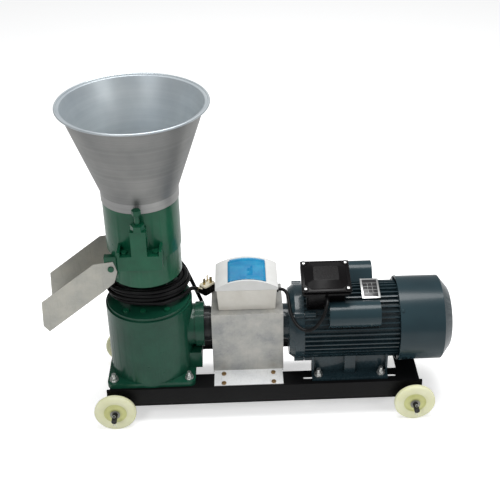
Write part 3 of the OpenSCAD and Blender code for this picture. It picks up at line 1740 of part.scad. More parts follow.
// A capacitor fills the room between the body and the top of its cover.
module capacitor(x, lean, reach, radius) {
  margin = capacitor_wall + loose_clearance;
  low = body_radius + 2 * seat_gap;
  size = (reach + radius - margin - low) / 2;
  across(x + margin, capacitor_cover_length - 2 * margin) translate([0, drive_z]) rotate(lean)
    translate([0, low + size]) circle(r = size, $fn = round_facets);
}

module capacitors() machine("#3a3a3a") {
  capacitor(front_capacitor_x, front_capacitor_angle, front_capacitor_reach,
    front_capacitor_cover);
  capacitor(rear_capacitor_x, rear_capacitor_lean, rear_capacitor_reach,
    rear_capacitor_cover);
}

module motor_screws() machine("#c3c6c8") {
  for (x = [0, foot_bolt_pitch], y = [-1, 1])
    translate([motor_bolt_x + x, y * bolt_gauge / 2, frame_top + foot_thickness]) {
      pin(m10_af * head_share, 2);
      translate([0, 0, 2]) stud(m10_radius, m10_af, 2 + foot_thickness + rail_wall,
        m10_radius * 2 + 6);
      translate([0, 0, -foot_thickness - rail_wall - 8]) pin(m10_af * head_share, 8);
    }
  along_x(motor_offset + ear_face) around(4, ear_circle, shield_bolt_first)
    rotate([turn / 2, 0, 0]) stud(m6_radius, m6_af, shield_length - shield_step + 14, 0);
  at_terminal() translate([0, 0, terminal_height + lid_plate])
    corners(lid_length / 2 - lid_screw_inset, lid_width / 2 - lid_screw_inset) {
      translate([0, 0, -2 * lid_plate + 1]) pin(lid_screw_radius, 2 * lid_plate);
      pin(lid_screw_head, 2);
    }
}

// cords

winding_loops = 7.5;
winding_rings = 24;
winding_sides = 6;
winding_first = 0.5;
winding_reach = 98;
winding_depth = 82.5;
winding_centre_y = 15;
winding_pitch = 2 * mains_radius + 0.9;
winding_layer = 2 * mains_radius + 0.6;
winding_tilt_share = 0.05;
winding_turns = 2;
winding_z = cover_top + m8_radius * 2 * head_share + seat_gap + mains_radius;

function smooth(t) = let (u = max(0, min(1, t))) u * u * (3 - 2 * u);

// Turns inward from the outermost loop: in and out again, layer by layer.
function winding_inward(phase) =
  let (layer = floor(phase / winding_turns), part = phase - layer * winding_turns)
  layer % 2 == 0 ? part : winding_turns - part;

// Layers climbed, each in the half turn where the spiral reverses.
function winding_climb(phase) =
  let (nearest = round(phase / winding_turns))
  nearest == 0 ? 0 : nearest > 3 ? 3
    : nearest - 1 + smooth((phase - nearest * winding_turns + 0.25) * 2);

function winding_at(phase) =
  let (inward = winding_pitch * winding_inward(phase), angle = quarter - phase * turn,
    x = (winding_reach - inward) * cos(angle),
    y = winding_centre_y + (winding_depth - inward) * sin(angle),
    rear = winding_centre_y + winding_depth)
  [x, y, winding_z + winding_layer * winding_climb(phase) + winding_tilt_share * (rear - y)];

function winding_course() =
  let (count = winding_loops * winding_rings,
    body = [for (i = [0 : count]) winding_at(winding_first + i / winding_rings)],
    first = unit(body[0] - winding_at(winding_first + 0.02)),
    last = unit(body[count] - winding_at(winding_first + winding_loops - 0.02)))
  concat([body[0] + first * 2 * mains_radius], body, [body[count] + last * 2 * mains_radius]);

winding_points = winding_course();
winding_last = len(winding_points) - 1;

// Least gap between stretches of the winding that are half a turn or more apart.
winding_gap = min([
  for (i = [0 : 2 : winding_last], j = [i + winding_rings / 2 : winding_last])
    norm(winding_points[i] - winding_points[j])
]) - 2 * mains_radius;
echo(winding_gap = winding_gap);

module mains_winding() machine("#1d1d1f")
  swept_tube(winding_points, mains_radius, winding_sides);

cord_sides = 10;
cord_steps = 4;
plug_centre = [137, 53];
plug_turn = 45;
plug_rise = 40;
plug_size = [36, 25, 22];
plug_bottom = guard_top + seat_gap;
plug_middle = plug_bottom + plug_size[2] / 2;
plug_face = 2.6;
plug_relief = 22;
plug_relief_root = 6;
pin_height = 17;
pin_blade = [1.6, 6.4];
plug_back = [-cos(plug_turn), -sin(plug_turn), 0];
plug_exit = plug_back * cos(plug_rise) + [0, 0, sin(plug_rise)];
plug_cord_end = [plug_centre[0], plug_centre[1], plug_middle]
  + plug_back * plug_size[0] / 2 + plug_exit * plug_relief;

module mains_lead_plug_end() machine("#1d1d1f") {
  start = winding_points[0];
  away = unit(winding_points[0] - winding_points[1]);
  swept_tube(course([
    start, start + away * 12, [38, -56.8, 319], [60, -46, 318.5], [80, -30, 316.5],
    [92, -12, 313], [101, 3, 308.5], [107, 17, 302], plug_cord_end + plug_exit * 8,
    plug_cord_end
  ], cord_steps), mains_radius, cord_sides);
}

module mains_lead_box_end() machine("#1d1d1f") {
  start = winding_points[winding_last];
  away = unit(winding_points[winding_last] - winding_points[winding_last - 1]);
  tip = mains_exit + [0, gland_length, 0];
  swept_tube(course([
    start, start + away * 12, [46, 97, 342], [66, 93, 337], [81, 87, 322], [92, 80, 300],
    [104.5, 72, 272], [115, 66.5, 247], [125, 66, 223], [134, 71, 199], [145, 84, 180],
    [159, 102, 173], [172, 120, 181], [182, 132, 201], [188, 137, 227], [190, 136, 251],
    [190, 129.5, 272], [190, 120, 285], tip + [0, 10, 0], tip
  ], cord_steps), mains_radius, cord_sides);
}

module mains_plug() machine("#202022") {
  translate([plug_centre[0], plug_centre[1], plug_bottom]) rotate([0, 0, plug_turn]) {
    plate(plug_size[0], plug_size[1], 6, plug_size[2]);
    translate([0, 0, plug_size[2]])
      plate(plug_size[0] - 2, plug_size[1] - 2, 5, plug_face);
    translate([0, 0, plug_size[2] + plug_face]) plug_pins();
    translate([-plug_size[0] / 2, 0, plug_size[2] / 2]) rotate([0, plug_rise - quarter, 0])
      translate([0, 0, -plug_relief_root])
        cylinder(r1 = plug_size[2] / 2 - 3, r2 = mains_radius + 1,
          h = plug_relief + plug_relief_root, $fn = small_facets);
  }
}

module plug_pins() {
  for (place = [[-9, 0, 0], [7, 6, 30], [7, -6, -30]])
    translate([place[0], place[1], 0]) rotate([0, 0, place[2]])
      translate([-pin_blade[1] / 2, -pin_blade[0] / 2, 0])
        cube([pin_blade[1], pin_blade[0], pin_height]);
}

module motor_lead() machine("#1d1d1f") {
  turned = [0, -cos(terminal_tilt), -sin(terminal_tilt)];
  up = [0, -sin(terminal_tilt), cos(terminal_tilt)];
  far = [terminal_x, 0, drive_z] + up * terminal_exit_height
    + turned * (terminal_base_width / 2 + terminal_grommet);
  near = [lead_exit_x, lead_exit_y, lead_exit_z];
  swept_tube(course([
    near, near + [8, 0, 0], [324, -18, 309], [328, -34, 304], [331, -52, 294],
    [336, -70, 281], [344, -86, 270], [355, -99, 263], [370, -107, 261], [386, -112, 270],
    [399, -114, 288], [408, -112, 306], [414, -104, 320], far + turned * 20,
    far + turned * 9, far
  ], cord_steps), motor_lead_radius, cord_sides);
}

base_frame();
wheel_axles();
wheel_front_left();
wheel_front_right();
wheel_rear_left();
wheel_rear_right();
wheel_retainers();
gearbox_housing();
gearbox_cover();
gearbox_cover_bolts();
gearbox_hold_down_bolts();
input_bearing_housing();
input_bearing_cap();
shaft_bearings();
shaft_seals();
main_shaft();
bevel_gear();
pinion_shaft();
gearbox_coupling_half();
motor_coupling_half();
coupling_pins();
coupling_guard();
guard_bolts();
switch_box_tray();
switch_box_cover();
switch_flap();
circuit_breaker();
breaker_toggle();
cable_glands();
motor_frame();
drive_end_shield();
fan_end_shield();
stator();
rotor_shaft();
cooling_fan();
fan_cover();
terminal_box();
terminal_box_lid();
capacitor_covers();
capacitors();
motor_screws();
die_chamber();
roller_housing();
flat_die();
discharge_disc();
die_nut();
roller_shaft();
front_roller();
rear_roller();
roller_bushes();
front_adjusting_bolt();
rear_adjusting_bolt();
housing_bolts();
hopper();
discharge_chute();
mains_winding();
mains_lead_plug_end();
mains_lead_box_end();
mains_plug();
motor_lead();
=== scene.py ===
"""Feed pellet mill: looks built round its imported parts.

Sizes are in millimetres from the press axis at floor level, X along the frame
towards the motor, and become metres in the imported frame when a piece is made.
"""
import json
import logging
import math
from dataclasses import dataclass
from enum import Enum
from typing import Callable, Sequence

import bmesh
import bpy
from mathutils import Matrix, Vector


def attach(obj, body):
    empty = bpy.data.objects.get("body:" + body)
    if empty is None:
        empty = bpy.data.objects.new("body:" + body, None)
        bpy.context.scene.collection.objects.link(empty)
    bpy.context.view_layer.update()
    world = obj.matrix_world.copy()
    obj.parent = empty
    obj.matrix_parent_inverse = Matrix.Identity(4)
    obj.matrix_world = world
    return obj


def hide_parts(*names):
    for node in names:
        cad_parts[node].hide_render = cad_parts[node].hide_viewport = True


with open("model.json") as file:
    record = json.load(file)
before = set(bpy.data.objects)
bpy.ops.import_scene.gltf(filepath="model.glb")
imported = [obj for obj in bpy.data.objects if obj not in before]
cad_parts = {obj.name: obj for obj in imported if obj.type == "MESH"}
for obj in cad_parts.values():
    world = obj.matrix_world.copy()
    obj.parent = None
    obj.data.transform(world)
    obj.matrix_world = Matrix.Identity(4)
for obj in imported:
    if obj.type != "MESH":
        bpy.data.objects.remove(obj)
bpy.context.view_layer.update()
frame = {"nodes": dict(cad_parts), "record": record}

LOG = logging.getLogger("pellet_mill")
MM = 0.001
PRESS_AXIS_X = -0.249275
SOFT_EDGES = "eased edges"
Rgb = tuple[int, int, int]
Point = tuple[float, float, float]
Socket = bpy.types.NodeSocket
Material = bpy.types.Material
Piece = bpy.types.Object
Vert = bmesh.types.BMVert
Edge = bmesh.types.BMEdge


def linear(step: int) -> float:
    """Turns one channel of a screen colour, 0 to 255, into what shaders use."""
    value = step / 255
    return value / 12.92 if value <= 0.04045 else ((value + 0.055) / 1.055) ** 2.4


def metres(point: Sequence[float]) -> Vector:
    """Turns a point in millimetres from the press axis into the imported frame."""
    return Vector((point[0] * MM + PRESS_AXIS_X, point[1] * MM, point[2] * MM))


# ---- finishes


class Signal:
    """A number that varies over a surface; sums on it add Math nodes."""

    def __init__(self, coat: "Coat", socket: Socket) -> None:
        """Keeps the finish that is being built and the socket that holds the number."""
        self.coat = coat
        self.socket = socket

    def __add__(self, other: "Signal | float") -> "Signal":
        """Adds a number or a signal."""
        return self.coat.maths("ADD", self, other)

    def __sub__(self, other: "Signal | float") -> "Signal":
        """Takes a number or a signal away."""
        return self.coat.maths("SUBTRACT", self, other)

    def __mul__(self, other: "Signal | float") -> "Signal":
        """Multiplies by a number or a signal."""
        return self.coat.maths("MULTIPLY", self, other)

    def __rsub__(self, other: float) -> "Signal":
        """Takes this away from a number."""
        return self.coat.maths("SUBTRACT", other, self)

    __radd__ = __add__
    __rmul__ = __mul__

    def __pow__(self, other: float) -> "Signal":
        """Raises to a power."""
        return self.coat.maths("POWER", self, other)

    def between(self, low: float, high: float) -> "Signal":
        """Ramps from 0 at low to 1 at high, and stays there outside.

        Args:
            low: Value that gives 0.
            high: Value that gives 1.

        Returns:
            The clamped ramp.
        """
        node = self.coat.node("ShaderNodeMapRange", {"clamp": True},
                              {"Value": self, "From Min": low, "From Max": high})
        return Signal(self.coat, node.outputs["Result"])


class Coat:
    """One material, or the sky, under construction."""

    def __init__(self, name: str, data: bpy.types.World | None = None) -> None:
        """Starts an empty material with that name, or clears the sky that is given.

        Args:
            name: The material's name.
            data: The sky, where it isn't a material.
        """
        self.material = data or bpy.data.materials.new(name)
        self.material.use_nodes = True
        self.tree = self.material.node_tree
        self.tree.nodes.clear()

    def node(self, kind: str, settings: dict[str, object],
             sockets: dict[str | int, object]) -> bpy.types.Node:
        """Adds a node.

        Args:
            kind: Blender's type of node.
            settings: Attributes that are set first.
            sockets: Values or links by input name or number.

        Returns:
            The new node.
        """
        made = self.tree.nodes.new(kind)
        for name, value in settings.items():
            setattr(made, name, value)
        for key, value in sockets.items():
            if isinstance(value, Signal):
                value = value.socket
            if isinstance(value, Socket):
                self.tree.links.new(value, made.inputs[key])
            elif isinstance(value, tuple) and made.inputs[key].type == "RGBA":
                made.inputs[key].default_value = (*value, 1.0)
            else:
                made.inputs[key].default_value = value
        return made

    def maths(self, operation: str, first: "Signal | float",
              second: "Signal | float") -> Signal:
        """Adds a Math node and returns its result."""
        made = self.node("ShaderNodeMath", {"operation": operation}, {0: first, 1: second})
        return Signal(self, made.outputs[0])

    def place(self) -> Socket:
        """Object coordinates."""
        return self.node("ShaderNodeTexCoord", {}, {}).outputs["Object"]

    def stretched(self, scale: Point) -> Socket:
        """Object coordinates scaled on each axis."""
        return self.node("ShaderNodeMapping", {},
                         {"Vector": self.place(), "Scale": Vector(scale)}).outputs[0]

    def around(self, centre: Point, along: int) -> Socket:
        """Coordinates of a turned surface: distance from an axis, then distance along it.

        Args:
            centre: A point on the axis, in metres.
            along: Number of the axis, 0 for X and 2 for Z.

        Returns:
            A vector of (radius, 0, length).
        """
        moved = self.node("ShaderNodeVectorMath", {"operation": "SUBTRACT"},
                          {0: self.place(), 1: Vector(centre)}).outputs[0]
        parts = self.node("ShaderNodeSeparateXYZ", {}, {0: moved}).outputs
        first, second = [Signal(self, parts[k]) for k in range(3) if k != along]
        radius = (first * first + second * second) ** 0.5
        return self.node("ShaderNodeCombineXYZ", {},
                         {0: radius, 2: Signal(self, parts[along])}).outputs[0]

    def noise(self, scale: float, detail: float, roughness: float,
              where: Socket | None = None) -> Signal:
        """Soft noise, 0 to 1.

        Args:
            scale: Waves a metre.
            detail: Octaves.
            roughness: Share that each octave keeps.
            where: Coordinates; the object's own when left out.

        Returns:
            The noise.
        """
        made = self.node("ShaderNodeTexNoise", {}, {
            "Vector": where or self.place(), "Scale": scale, "Detail": detail,
            "Roughness": roughness})
        return Signal(self, made.outputs[0])

    def cells(self, scale: float) -> Signal:
        """A random number for each cell of crystals.

        Args:
            scale: Cells a metre.

        Returns:
            The number.
        """
        made = self.node("ShaderNodeTexVoronoi", {}, {"Vector": self.place(), "Scale": scale})
        grey = self.node("ShaderNodeSeparateColor", {}, {0: made.outputs["Color"]})
        return Signal(self, grey.outputs[0])

    def blend(self, first: object, second: object, share: Signal) -> Socket:
        """Mixes two colours by a share; a screen colour is turned into a linear one.

        Args:
            first: Colour where the share is 0.
            second: Colour where the share is 1.
            share: The share.

        Returns:
            The mixed colour.
        """
        both = [tuple(linear(step) for step in colour) if isinstance(colour, tuple)
                else colour for colour in (first, second)]
        made = self.node("ShaderNodeMix", {"data_type": "RGBA"},
                         {0: share, 6: both[0], 7: both[1]})
        return made.outputs[2]

    def bump(self, height: Signal, distance_mm: float, strength: float) -> Socket:
        """Turns a height of 0 to 1 into a normal.

        Args:
            height: The height.
            distance_mm: Depth of the relief, in millimetres.
            strength: Share of the relief that shows.

        Returns:
            The normal.
        """
        made = self.node("ShaderNodeBump", {}, {
            "Height": height, "Distance": distance_mm * MM, "Strength": strength})
        return made.outputs[0]

    def close(self, **sockets: object) -> Material:
        """Ends the material in one surface, by input names with _ for a space.

        Args:
            **sockets: Values or links by input name.

        Returns:
            The finished material.
        """
        surface = self.node("ShaderNodeBsdfPrincipled", {},
                            {k.replace("_", " "): v for k, v in sockets.items()})
        self.node("ShaderNodeOutputMaterial", {}, {0: surface.outputs[0]})
        return self.material


@dataclass(frozen=True)
class Enamel:
    """Thick enamel brushed or sprayed over a rough casting."""
    colour: Rgb
    shade: Rgb
    lump_mm: float = 0.5
    roughness: float = 0.3
    gloss_coat: float = 0.22
    dust: Rgb = (92, 104, 96)

    def make(self, name: str) -> Material:
        """Builds the material.

        Args:
            name: The material's name.

        Returns:
            The new material.
        """
        coat = Coat(name)
        cloud = coat.noise(14, 3, 0.6)
        grit = coat.noise(620, 2, 0.5)
        lumps = coat.noise(95, 3, 0.55)
        specks = coat.noise(330, 2, 0.4).between(0.72, 0.78)
        tone = coat.blend(self.colour, self.shade, cloud.between(0.35, 0.7))
        tone = coat.blend(tone, self.dust, (specks * 0.16 + cloud.between(0.62, 0.8) * 0.05))
        return coat.close(
            Base_Color=tone,
            Roughness=lumps * 0.12 + (self.roughness - 0.06) + specks * 0.2,
            Normal=coat.bump(lumps * 0.8 + grit * 0.2, self.lump_mm, 0.55),
            Specular_IOR_Level=0.22, Coat_Weight=self.gloss_coat, Coat_Roughness=0.08)


@dataclass(frozen=True)
class Sheen:
    """Smooth sprayed paint on sheet steel and mild castings."""
    colour: Rgb
    shade: Rgb
    roughness: float = 0.28
    gloss_coat: float = 0.35
    shine: float = 0.35
    chip: Rgb = (120, 128, 130)

    def make(self, name: str) -> Material:
        """Builds the material.

        Args:
            name: The material's name.

        Returns:
            The new material.
        """
        coat = Coat(name)
        cloud = coat.noise(9, 2, 0.5)
        peel = coat.noise(210, 2, 0.5)
        chips = coat.noise(150, 4, 0.6).between(0.745, 0.76)
        tone = coat.blend(self.colour, self.shade, cloud.between(0.3, 0.75))
        tone = coat.blend(tone, self.chip, chips * 0.4)
        return coat.close(
            Base_Color=tone, Roughness=cloud * 0.08 + self.roughness - 0.02,
            Specular_IOR_Level=self.shine, Normal=coat.bump(peel, 0.16, 0.5),
            Coat_Weight=self.gloss_coat, Coat_Roughness=0.1)


@dataclass(frozen=True)
class Galvanised:
    """Rolled zinc sheet with dull spangles, handling marks and streaks."""
    colour: Rgb = (178, 176, 170)
    patch: Rgb = (142, 144, 144)
    metallic: float = 0.6

    def make(self, name: str) -> Material:
        """Builds the material.

        Args:
            name: The material's name.

        Returns:
            The new material.
        """
        coat = Coat(name)
        patches = coat.noise(17, 3, 0.55)
        spangle = coat.cells(260)
        streak = coat.noise(1, 4, 0.6, coat.stretched((260, 40, 18)))
        scratch = coat.noise(1, 2, 0.4, coat.stretched((30, 300, 900))).between(0.7, 0.74)
        tone = coat.blend(self.colour, self.patch, patches.between(0.38, 0.68))
        tone = coat.blend(tone, (202, 202, 198), spangle * 0.2 + scratch * 0.25)
        tone = coat.blend(tone, (128, 128, 122), streak.between(0.58, 0.8) * 0.35)
        return coat.close(
            Base_Color=tone, Metallic=self.metallic,
            Roughness=spangle * 0.14 + patches * 0.16 + 0.32 - scratch * 0.08,
            Normal=coat.bump(patches * 0.6 + spangle * 0.1, 0.35, 0.4))


@dataclass(frozen=True)
class SpunSteel:
    """Sheet spun on a lathe, with rings left by the tool round its axis."""
    colour: Rgb
    shade: Rgb
    metallic: float = 0.75
    roughness: float = 0.36
    ring_mm: float = 0.09
    centre: Point = (PRESS_AXIS_X, 0.0, 0.6)
    along: int = 2

    def make(self, name: str) -> Material:
        """Builds the material.

        Args:
            name: The material's name.

        Returns:
            The new material.
        """
        coat = Coat(name)
        turned = coat.around(self.centre, self.along)
        rings = coat.noise(900, 3, 0.7, turned)
        bands = coat.noise(110, 3, 0.6, turned)
        smear = coat.noise(11, 3, 0.5)
        tone = coat.blend(self.colour, self.shade,
                          (bands * 0.35 + smear * 0.65).between(0.34, 0.68))
        tone = coat.blend(tone, (216, 219, 220), rings.between(0.56, 0.8) * 0.3)
        return coat.close(
            Base_Color=tone, Metallic=self.metallic,
            Roughness=rings * 0.2 + smear * 0.08 + self.roughness - 0.12,
            Normal=coat.bump(rings * 0.7 + bands * 0.3, self.ring_mm, 0.6))


@dataclass(frozen=True)
class BareMetal:
    """Machined or plated metal with fine tool marks and dull spots."""
    colour: Rgb
    stain: Rgb
    roughness: float = 0.3
    marks: float = 900.0
    metallic: float = 0.9

    def make(self, name: str) -> Material:
        """Builds the material.

        Args:
            name: The material's name.

        Returns:
            The new material.
        """
        coat = Coat(name)
        fine = coat.noise(self.marks, 2, 0.5)
        stains = coat.noise(75, 4, 0.6)
        tone = coat.blend(self.colour, self.stain, stains.between(0.5, 0.75))
        return coat.close(
            Base_Color=tone, Metallic=self.metallic,
            Roughness=stains * 0.24 + fine * 0.06 + self.roughness - 0.12,
            Normal=coat.bump(fine, 0.05, 0.4))


@dataclass(frozen=True)
class Moulding:
    """Moulded plastic or rubber with a fine grain and a little dust."""
    colour: Rgb
    shade: Rgb
    roughness: float = 0.42
    grain: float = 1400.0
    grain_mm: float = 0.04
    glow: float = 0.0
    shine: float = 0.4

    def make(self, name: str) -> Material:
        """Builds the material.

        Args:
            name: The material's name.

        Returns:
            The new material.
        """
        coat = Coat(name)
        grain = coat.noise(self.grain, 2, 0.5)
        cloud = coat.noise(26, 3, 0.55)
        tone = coat.blend(self.colour, self.shade, cloud.between(0.35, 0.72))
        return coat.close(
            Base_Color=tone, Roughness=cloud * 0.12 + grain * 0.06 + self.roughness - 0.08,
            Specular_IOR_Level=self.shine, Normal=coat.bump(grain, self.grain_mm, 0.6),
            Subsurface_Weight=self.glow,
            Subsurface_Radius=Vector((0.004, 0.004, 0.002)))


@dataclass(frozen=True)
class ClearBlue:
    """Clear tinted plastic of the switch flap."""
    colour: Rgb = (2, 140, 196)

    def make(self, name: str) -> Material:
        """Builds the material.

        Args:
            name: The material's name.

        Returns:
            The new material.
        """
        coat = Coat(name)
        cloud = coat.noise(40, 3, 0.5)
        scratch = coat.noise(1, 3, 0.5, coat.stretched((900, 60, 60))).between(0.66, 0.72)
        tone = coat.blend(self.colour, (18, 166, 212), cloud.between(0.4, 0.7))
        return coat.close(
            Base_Color=tone, Roughness=cloud * 0.05 + scratch * 0.12 + 0.06,
            Alpha=0.52, IOR=1.49, Coat_Weight=0.6, Coat_Roughness=0.05)


class Finish(Enum):
    """The finishes of the mill."""
    BLACK_FRAME = Sheen((11, 11, 12), (7, 7, 8), 0.46, 0.0, 0.13, (52, 52, 54))
    GREEN_CASTING = Enamel((20, 72, 54), (13, 58, 43), 0.4)
    GREEN_BARREL = Enamel((20, 88, 62), (13, 72, 50), 0.7)
    TEAL_CASTING = Enamel((34, 51, 57), (24, 38, 44), 0.6, 0.28, 0.35)
    TEAL_SHEET = Sheen((37, 56, 62), (29, 45, 51), 0.24, 0.12, 0.24)
    DARK_CAP = Enamel((17, 22, 24), (10, 14, 16), 0.4, 0.4)
    ZINC_SHEET = Galvanised()
    # painted highlight: a near-white copy of the zinc sheet for the guard's rounded edges and the
    # foot's upward faces
    BRIGHT_SHEET = Galvanised((240, 241, 241), (222, 224, 226), 0.25)
    CHUTE_SHEET = Galvanised((180, 178, 168), (160, 160, 154), 0.42)
    # painted light: a lighter, whiter copy of the hopper's steel for the inside and the rim, which
    # face the lamps
    HOPPER_INSIDE = SpunSteel((180, 187, 190), (156, 164, 170), 0.5, 0.34)
    HOPPER_OUTSIDE = SpunSteel((136, 136, 134), (112, 113, 113), 0.7, 0.42)
    # painted light: a lighter copy of the hopper's steel for the skirt band
    HOPPER_SKIRT = SpunSteel((160, 160, 158), (134, 134, 134), 0.65, 0.4)
    BRIGHT_ZINC = BareMetal((206, 207, 205), (160, 161, 160), 0.28)
    DULL_ZINC = BareMetal((150, 150, 142), (112, 112, 106), 0.44)
    BRASS_ZINC = BareMetal((150, 122, 84), (92, 72, 50), 0.34)
    PIN_BRASS = BareMetal((198, 176, 120), (160, 136, 84), 0.24)
    MACHINED = BareMetal((156, 159, 162), (118, 121, 124), 0.32)
    OILED_STEEL = BareMetal((34, 35, 37), (20, 21, 23), 0.42, 600.0, 0.6)
    BRONZE = BareMetal((184, 146, 84), (142, 106, 60), 0.3)
    COPPER = BareMetal((176, 98, 58), (128, 66, 38), 0.4, 420.0, 0.7)
    DIE_BLUE = Sheen((46, 70, 138), (32, 50, 108), 0.34)
    BOX_SHELL = Moulding((214, 214, 212), (204, 204, 201), 0.34)
    BOX_TRAY = Moulding((212, 209, 201), (200, 196, 187), 0.38)
    CREAM_WHEEL = Moulding((234, 234, 200), (226, 226, 184), 0.4, 700.0, 0.06, 0.15)
    CREAM_GROOVE = Moulding((212, 213, 150), (202, 203, 136), 0.42, 700.0, 0.06, 0.15)
    BLACK_MOULDING = Moulding((16, 14, 15), (10, 9, 10), 0.26, shine=0.12)
    BLACK_AXLE = Moulding((20, 20, 22), (12, 12, 13), 0.45, 800.0, 0.08)
    CORD_JACKET = Moulding((14, 14, 15), (9, 9, 10), 0.42, 900.0, 0.06, shine=0.16)
    PLUG_FACE = Moulding((222, 216, 196), (206, 198, 176), 0.45)
    TOGGLE_BLUE = Moulding((8, 20, 52), (5, 14, 40), 0.3)
    BREAKER_WHITE = Moulding((214, 216, 214), (200, 202, 200), 0.38)
    FLAP = ClearBlue()
    FLAP_EDGE = Moulding((12, 84, 118), (8, 70, 102), 0.3)
    PLATE_METAL = BareMetal((206, 207, 206), (164, 166, 166), 0.3)
    PLATE_FIELD = Sheen((38, 38, 40), (26, 26, 28), 0.34)
    CAPACITOR = Moulding((66, 66, 68), (52, 52, 54), 0.5)

    def material(self) -> Material:
        """The finish's material, built when it is first asked for."""
        name = self.name.lower() + "_finish"
        return bpy.data.materials.get(name) or self.value.make(name)


# ---- pieces

BODY_OF = {node: body for body, nodes in frame["record"]["behaviour"]["bodies"].items()
           for node in nodes}


class Blank:
    """A mesh in the making, which ends as one finished piece."""

    def __init__(self) -> None:
        """Starts with no faces."""
        self.bm = bmesh.new()

    def ring(self, points: Sequence[Vector]) -> tuple[list[Vert], list[Edge]]:
        """Joins points into a closed ring and returns its corners and edges."""
        corners = [self.bm.verts.new(point) for point in points]
        return corners, [self.bm.edges.new(p) for p in zip(corners, corners[1:] + corners[:1])]

    def turned(self, profile: Sequence[tuple[float, float]], stand: Matrix,
               steps: int) -> None:
        """Spins a closed outline about its own upright axis.

        Args:
            profile: Radius and height of each corner, in millimetres.
            stand: Where the axis stands.
            steps: Facets round the axis.
        """
        corners, edges = self.ring([stand @ Vector((r, 0, h)) for r, h in profile])
        bmesh.ops.spin(
            self.bm, geom=corners + edges, cent=stand @ Vector((0, 0, 0)),
            axis=stand.to_3x3() @ Vector((0, 0, 1)), dvec=(0, 0, 0), angle=math.tau,
            steps=steps, use_merge=True, use_normal_flip=False, use_duplicate=False)

    def ease(self, edges: set[Edge], offset: float) -> None:
        """Rounds fresh edges, unless the offset is nothing.

        Args:
            edges: The edges.
            offset: How far the rounding reaches, in millimetres.
        """
        if offset:
            bmesh.ops.bevel(self.bm, geom=list(edges), offset=offset, segments=2,
                            profile=0.5, affect="EDGES", material=-1)

    def block(self, size: Point, stand: Matrix, ease: float = 0.0) -> None:
        """Adds a block whose middle is at the stand's origin, with eased edges.

        Args:
            size: Its length on each axis.
            stand: Where it stands.
            ease: Width of its eased edges.
        """
        made = bmesh.ops.create_cube(
            self.bm, size=1, matrix=stand @ Matrix.Diagonal((*size, 1.0)))
        self.ease({e for v in made["verts"] for e in v.link_edges}, ease)

    def cone(self, low: float, high: float, height: float, stand: Matrix, sides: int,
             ease: float = 0.0) -> None:
        """Adds a capped cone that stands on the stand's origin, with eased rims.

        Args:
            low: Radius at the foot.
            high: Radius at the top.
            height: Its height.
            stand: Where it stands.
            sides: Facets round it.
            ease: Width of its eased rims.
        """
        made = bmesh.ops.create_cone(
            self.bm, cap_ends=True, segments=sides, radius1=low, radius2=high,
            depth=height, matrix=stand @ Matrix.Translation((0, 0, height / 2)))
        self.ease({e for v in made["verts"] for e in v.link_edges
                   if any(len(f.verts) == sides for f in e.link_faces)}, ease)

    def skin(self, rows: Sequence[Sequence[Vector]]) -> None:
        """Bridges closed rings of corners and caps both ends.

        Args:
            rows: The corners of each ring, from one end to the other.
        """
        loops = [self.ring(row)[1] for row in rows]
        for low, high in zip(loops, loops[1:]):
            bmesh.ops.bridge_loops(self.bm, edges=low + high)
        for end in (loops[0], loops[-1]):
            bmesh.ops.edgeloop_fill(self.bm, edges=end)

    def finish(self, name: str, finish: Finish, slot: str, smooth: float = 35.0,
               body: str = "frame") -> Piece:
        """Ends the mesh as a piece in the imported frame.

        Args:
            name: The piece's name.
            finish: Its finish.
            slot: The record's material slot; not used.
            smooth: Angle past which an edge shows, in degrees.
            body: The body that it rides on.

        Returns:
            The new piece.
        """
        bmesh.ops.remove_doubles(self.bm, verts=self.bm.verts[:], dist=0.001)
        bmesh.ops.recalc_face_normals(self.bm, faces=self.bm.faces[:])
        bmesh.ops.transform(self.bm, verts=self.bm.verts[:],
                            matrix=Matrix.Translation((PRESS_AXIS_X, 0, 0)) @ Matrix.Scale(MM, 4))
        return fit(name, pour(self.bm, name), finish, body, smooth)


def pour(work: bmesh.types.BMesh, name: str) -> bpy.types.Mesh:
    """Ends a mesh in the making.

    Args:
        work: The mesh in the making.
        name: The mesh's name.

    Returns:
        The mesh.
    """
    mesh = bpy.data.meshes.new(name)
    work.to_mesh(mesh)
    work.free()
    return mesh


def put(name: str, data: bpy.types.ID) -> Piece:
    """Puts new data into the scene as an object.

    Args:
        name: The object's name.
        data: Its data.

    Returns:
        The new object.
    """
    thing = bpy.data.objects.new(name, data)
    bpy.context.scene.collection.objects.link(thing)
    return thing


def fit(name: str, data: bpy.types.ID, finish: Finish, body: str,
        smooth: float = 35.0) -> Piece:
    """Makes an object of a mesh or a curve and sets it on its body.

    Args:
        name: The piece's name.
        data: Its mesh or curve.
        finish: Its finish.
        body: The body that it rides on.
        smooth: Angle past which a mesh's edge shows, in degrees.

    Returns:
        The new piece.
    """
    piece = put(name, data)
    data.materials.append(finish.material())
    if isinstance(data, bpy.types.Mesh):
        data.shade_smooth()
        data.set_sharp_from_angle(angle=math.radians(smooth))
    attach(piece, body)
    LOG.info("made %s on %s", name, body)
    return piece


def coated(finish: Finish, *nodes: str) -> None:
    """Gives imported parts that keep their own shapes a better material.

    Args:
        finish: The finish.
        *nodes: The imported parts.
    """
    for node in nodes:
        materials = frame["nodes"][node].data.materials
        materials.clear()
        materials.append(finish.material())


def soften(piece: Piece, width: float, angle: float,
           segments: int = 2) -> bpy.types.Modifier:
    """Rounds the edges that turn past an angle.

    Args:
        piece: The piece.
        width: Width of the rounded edges, in millimetres.
        angle: The angle, in degrees.
        segments: Steps over each rounded edge.

    Returns:
        The modifier.
    """
    bevel = piece.modifiers.new(SOFT_EDGES, "BEVEL")
    bevel.width = width * MM
    bevel.segments = segments
    bevel.limit_method = "ANGLE"
    bevel.angle_limit = math.radians(angle)
    return bevel


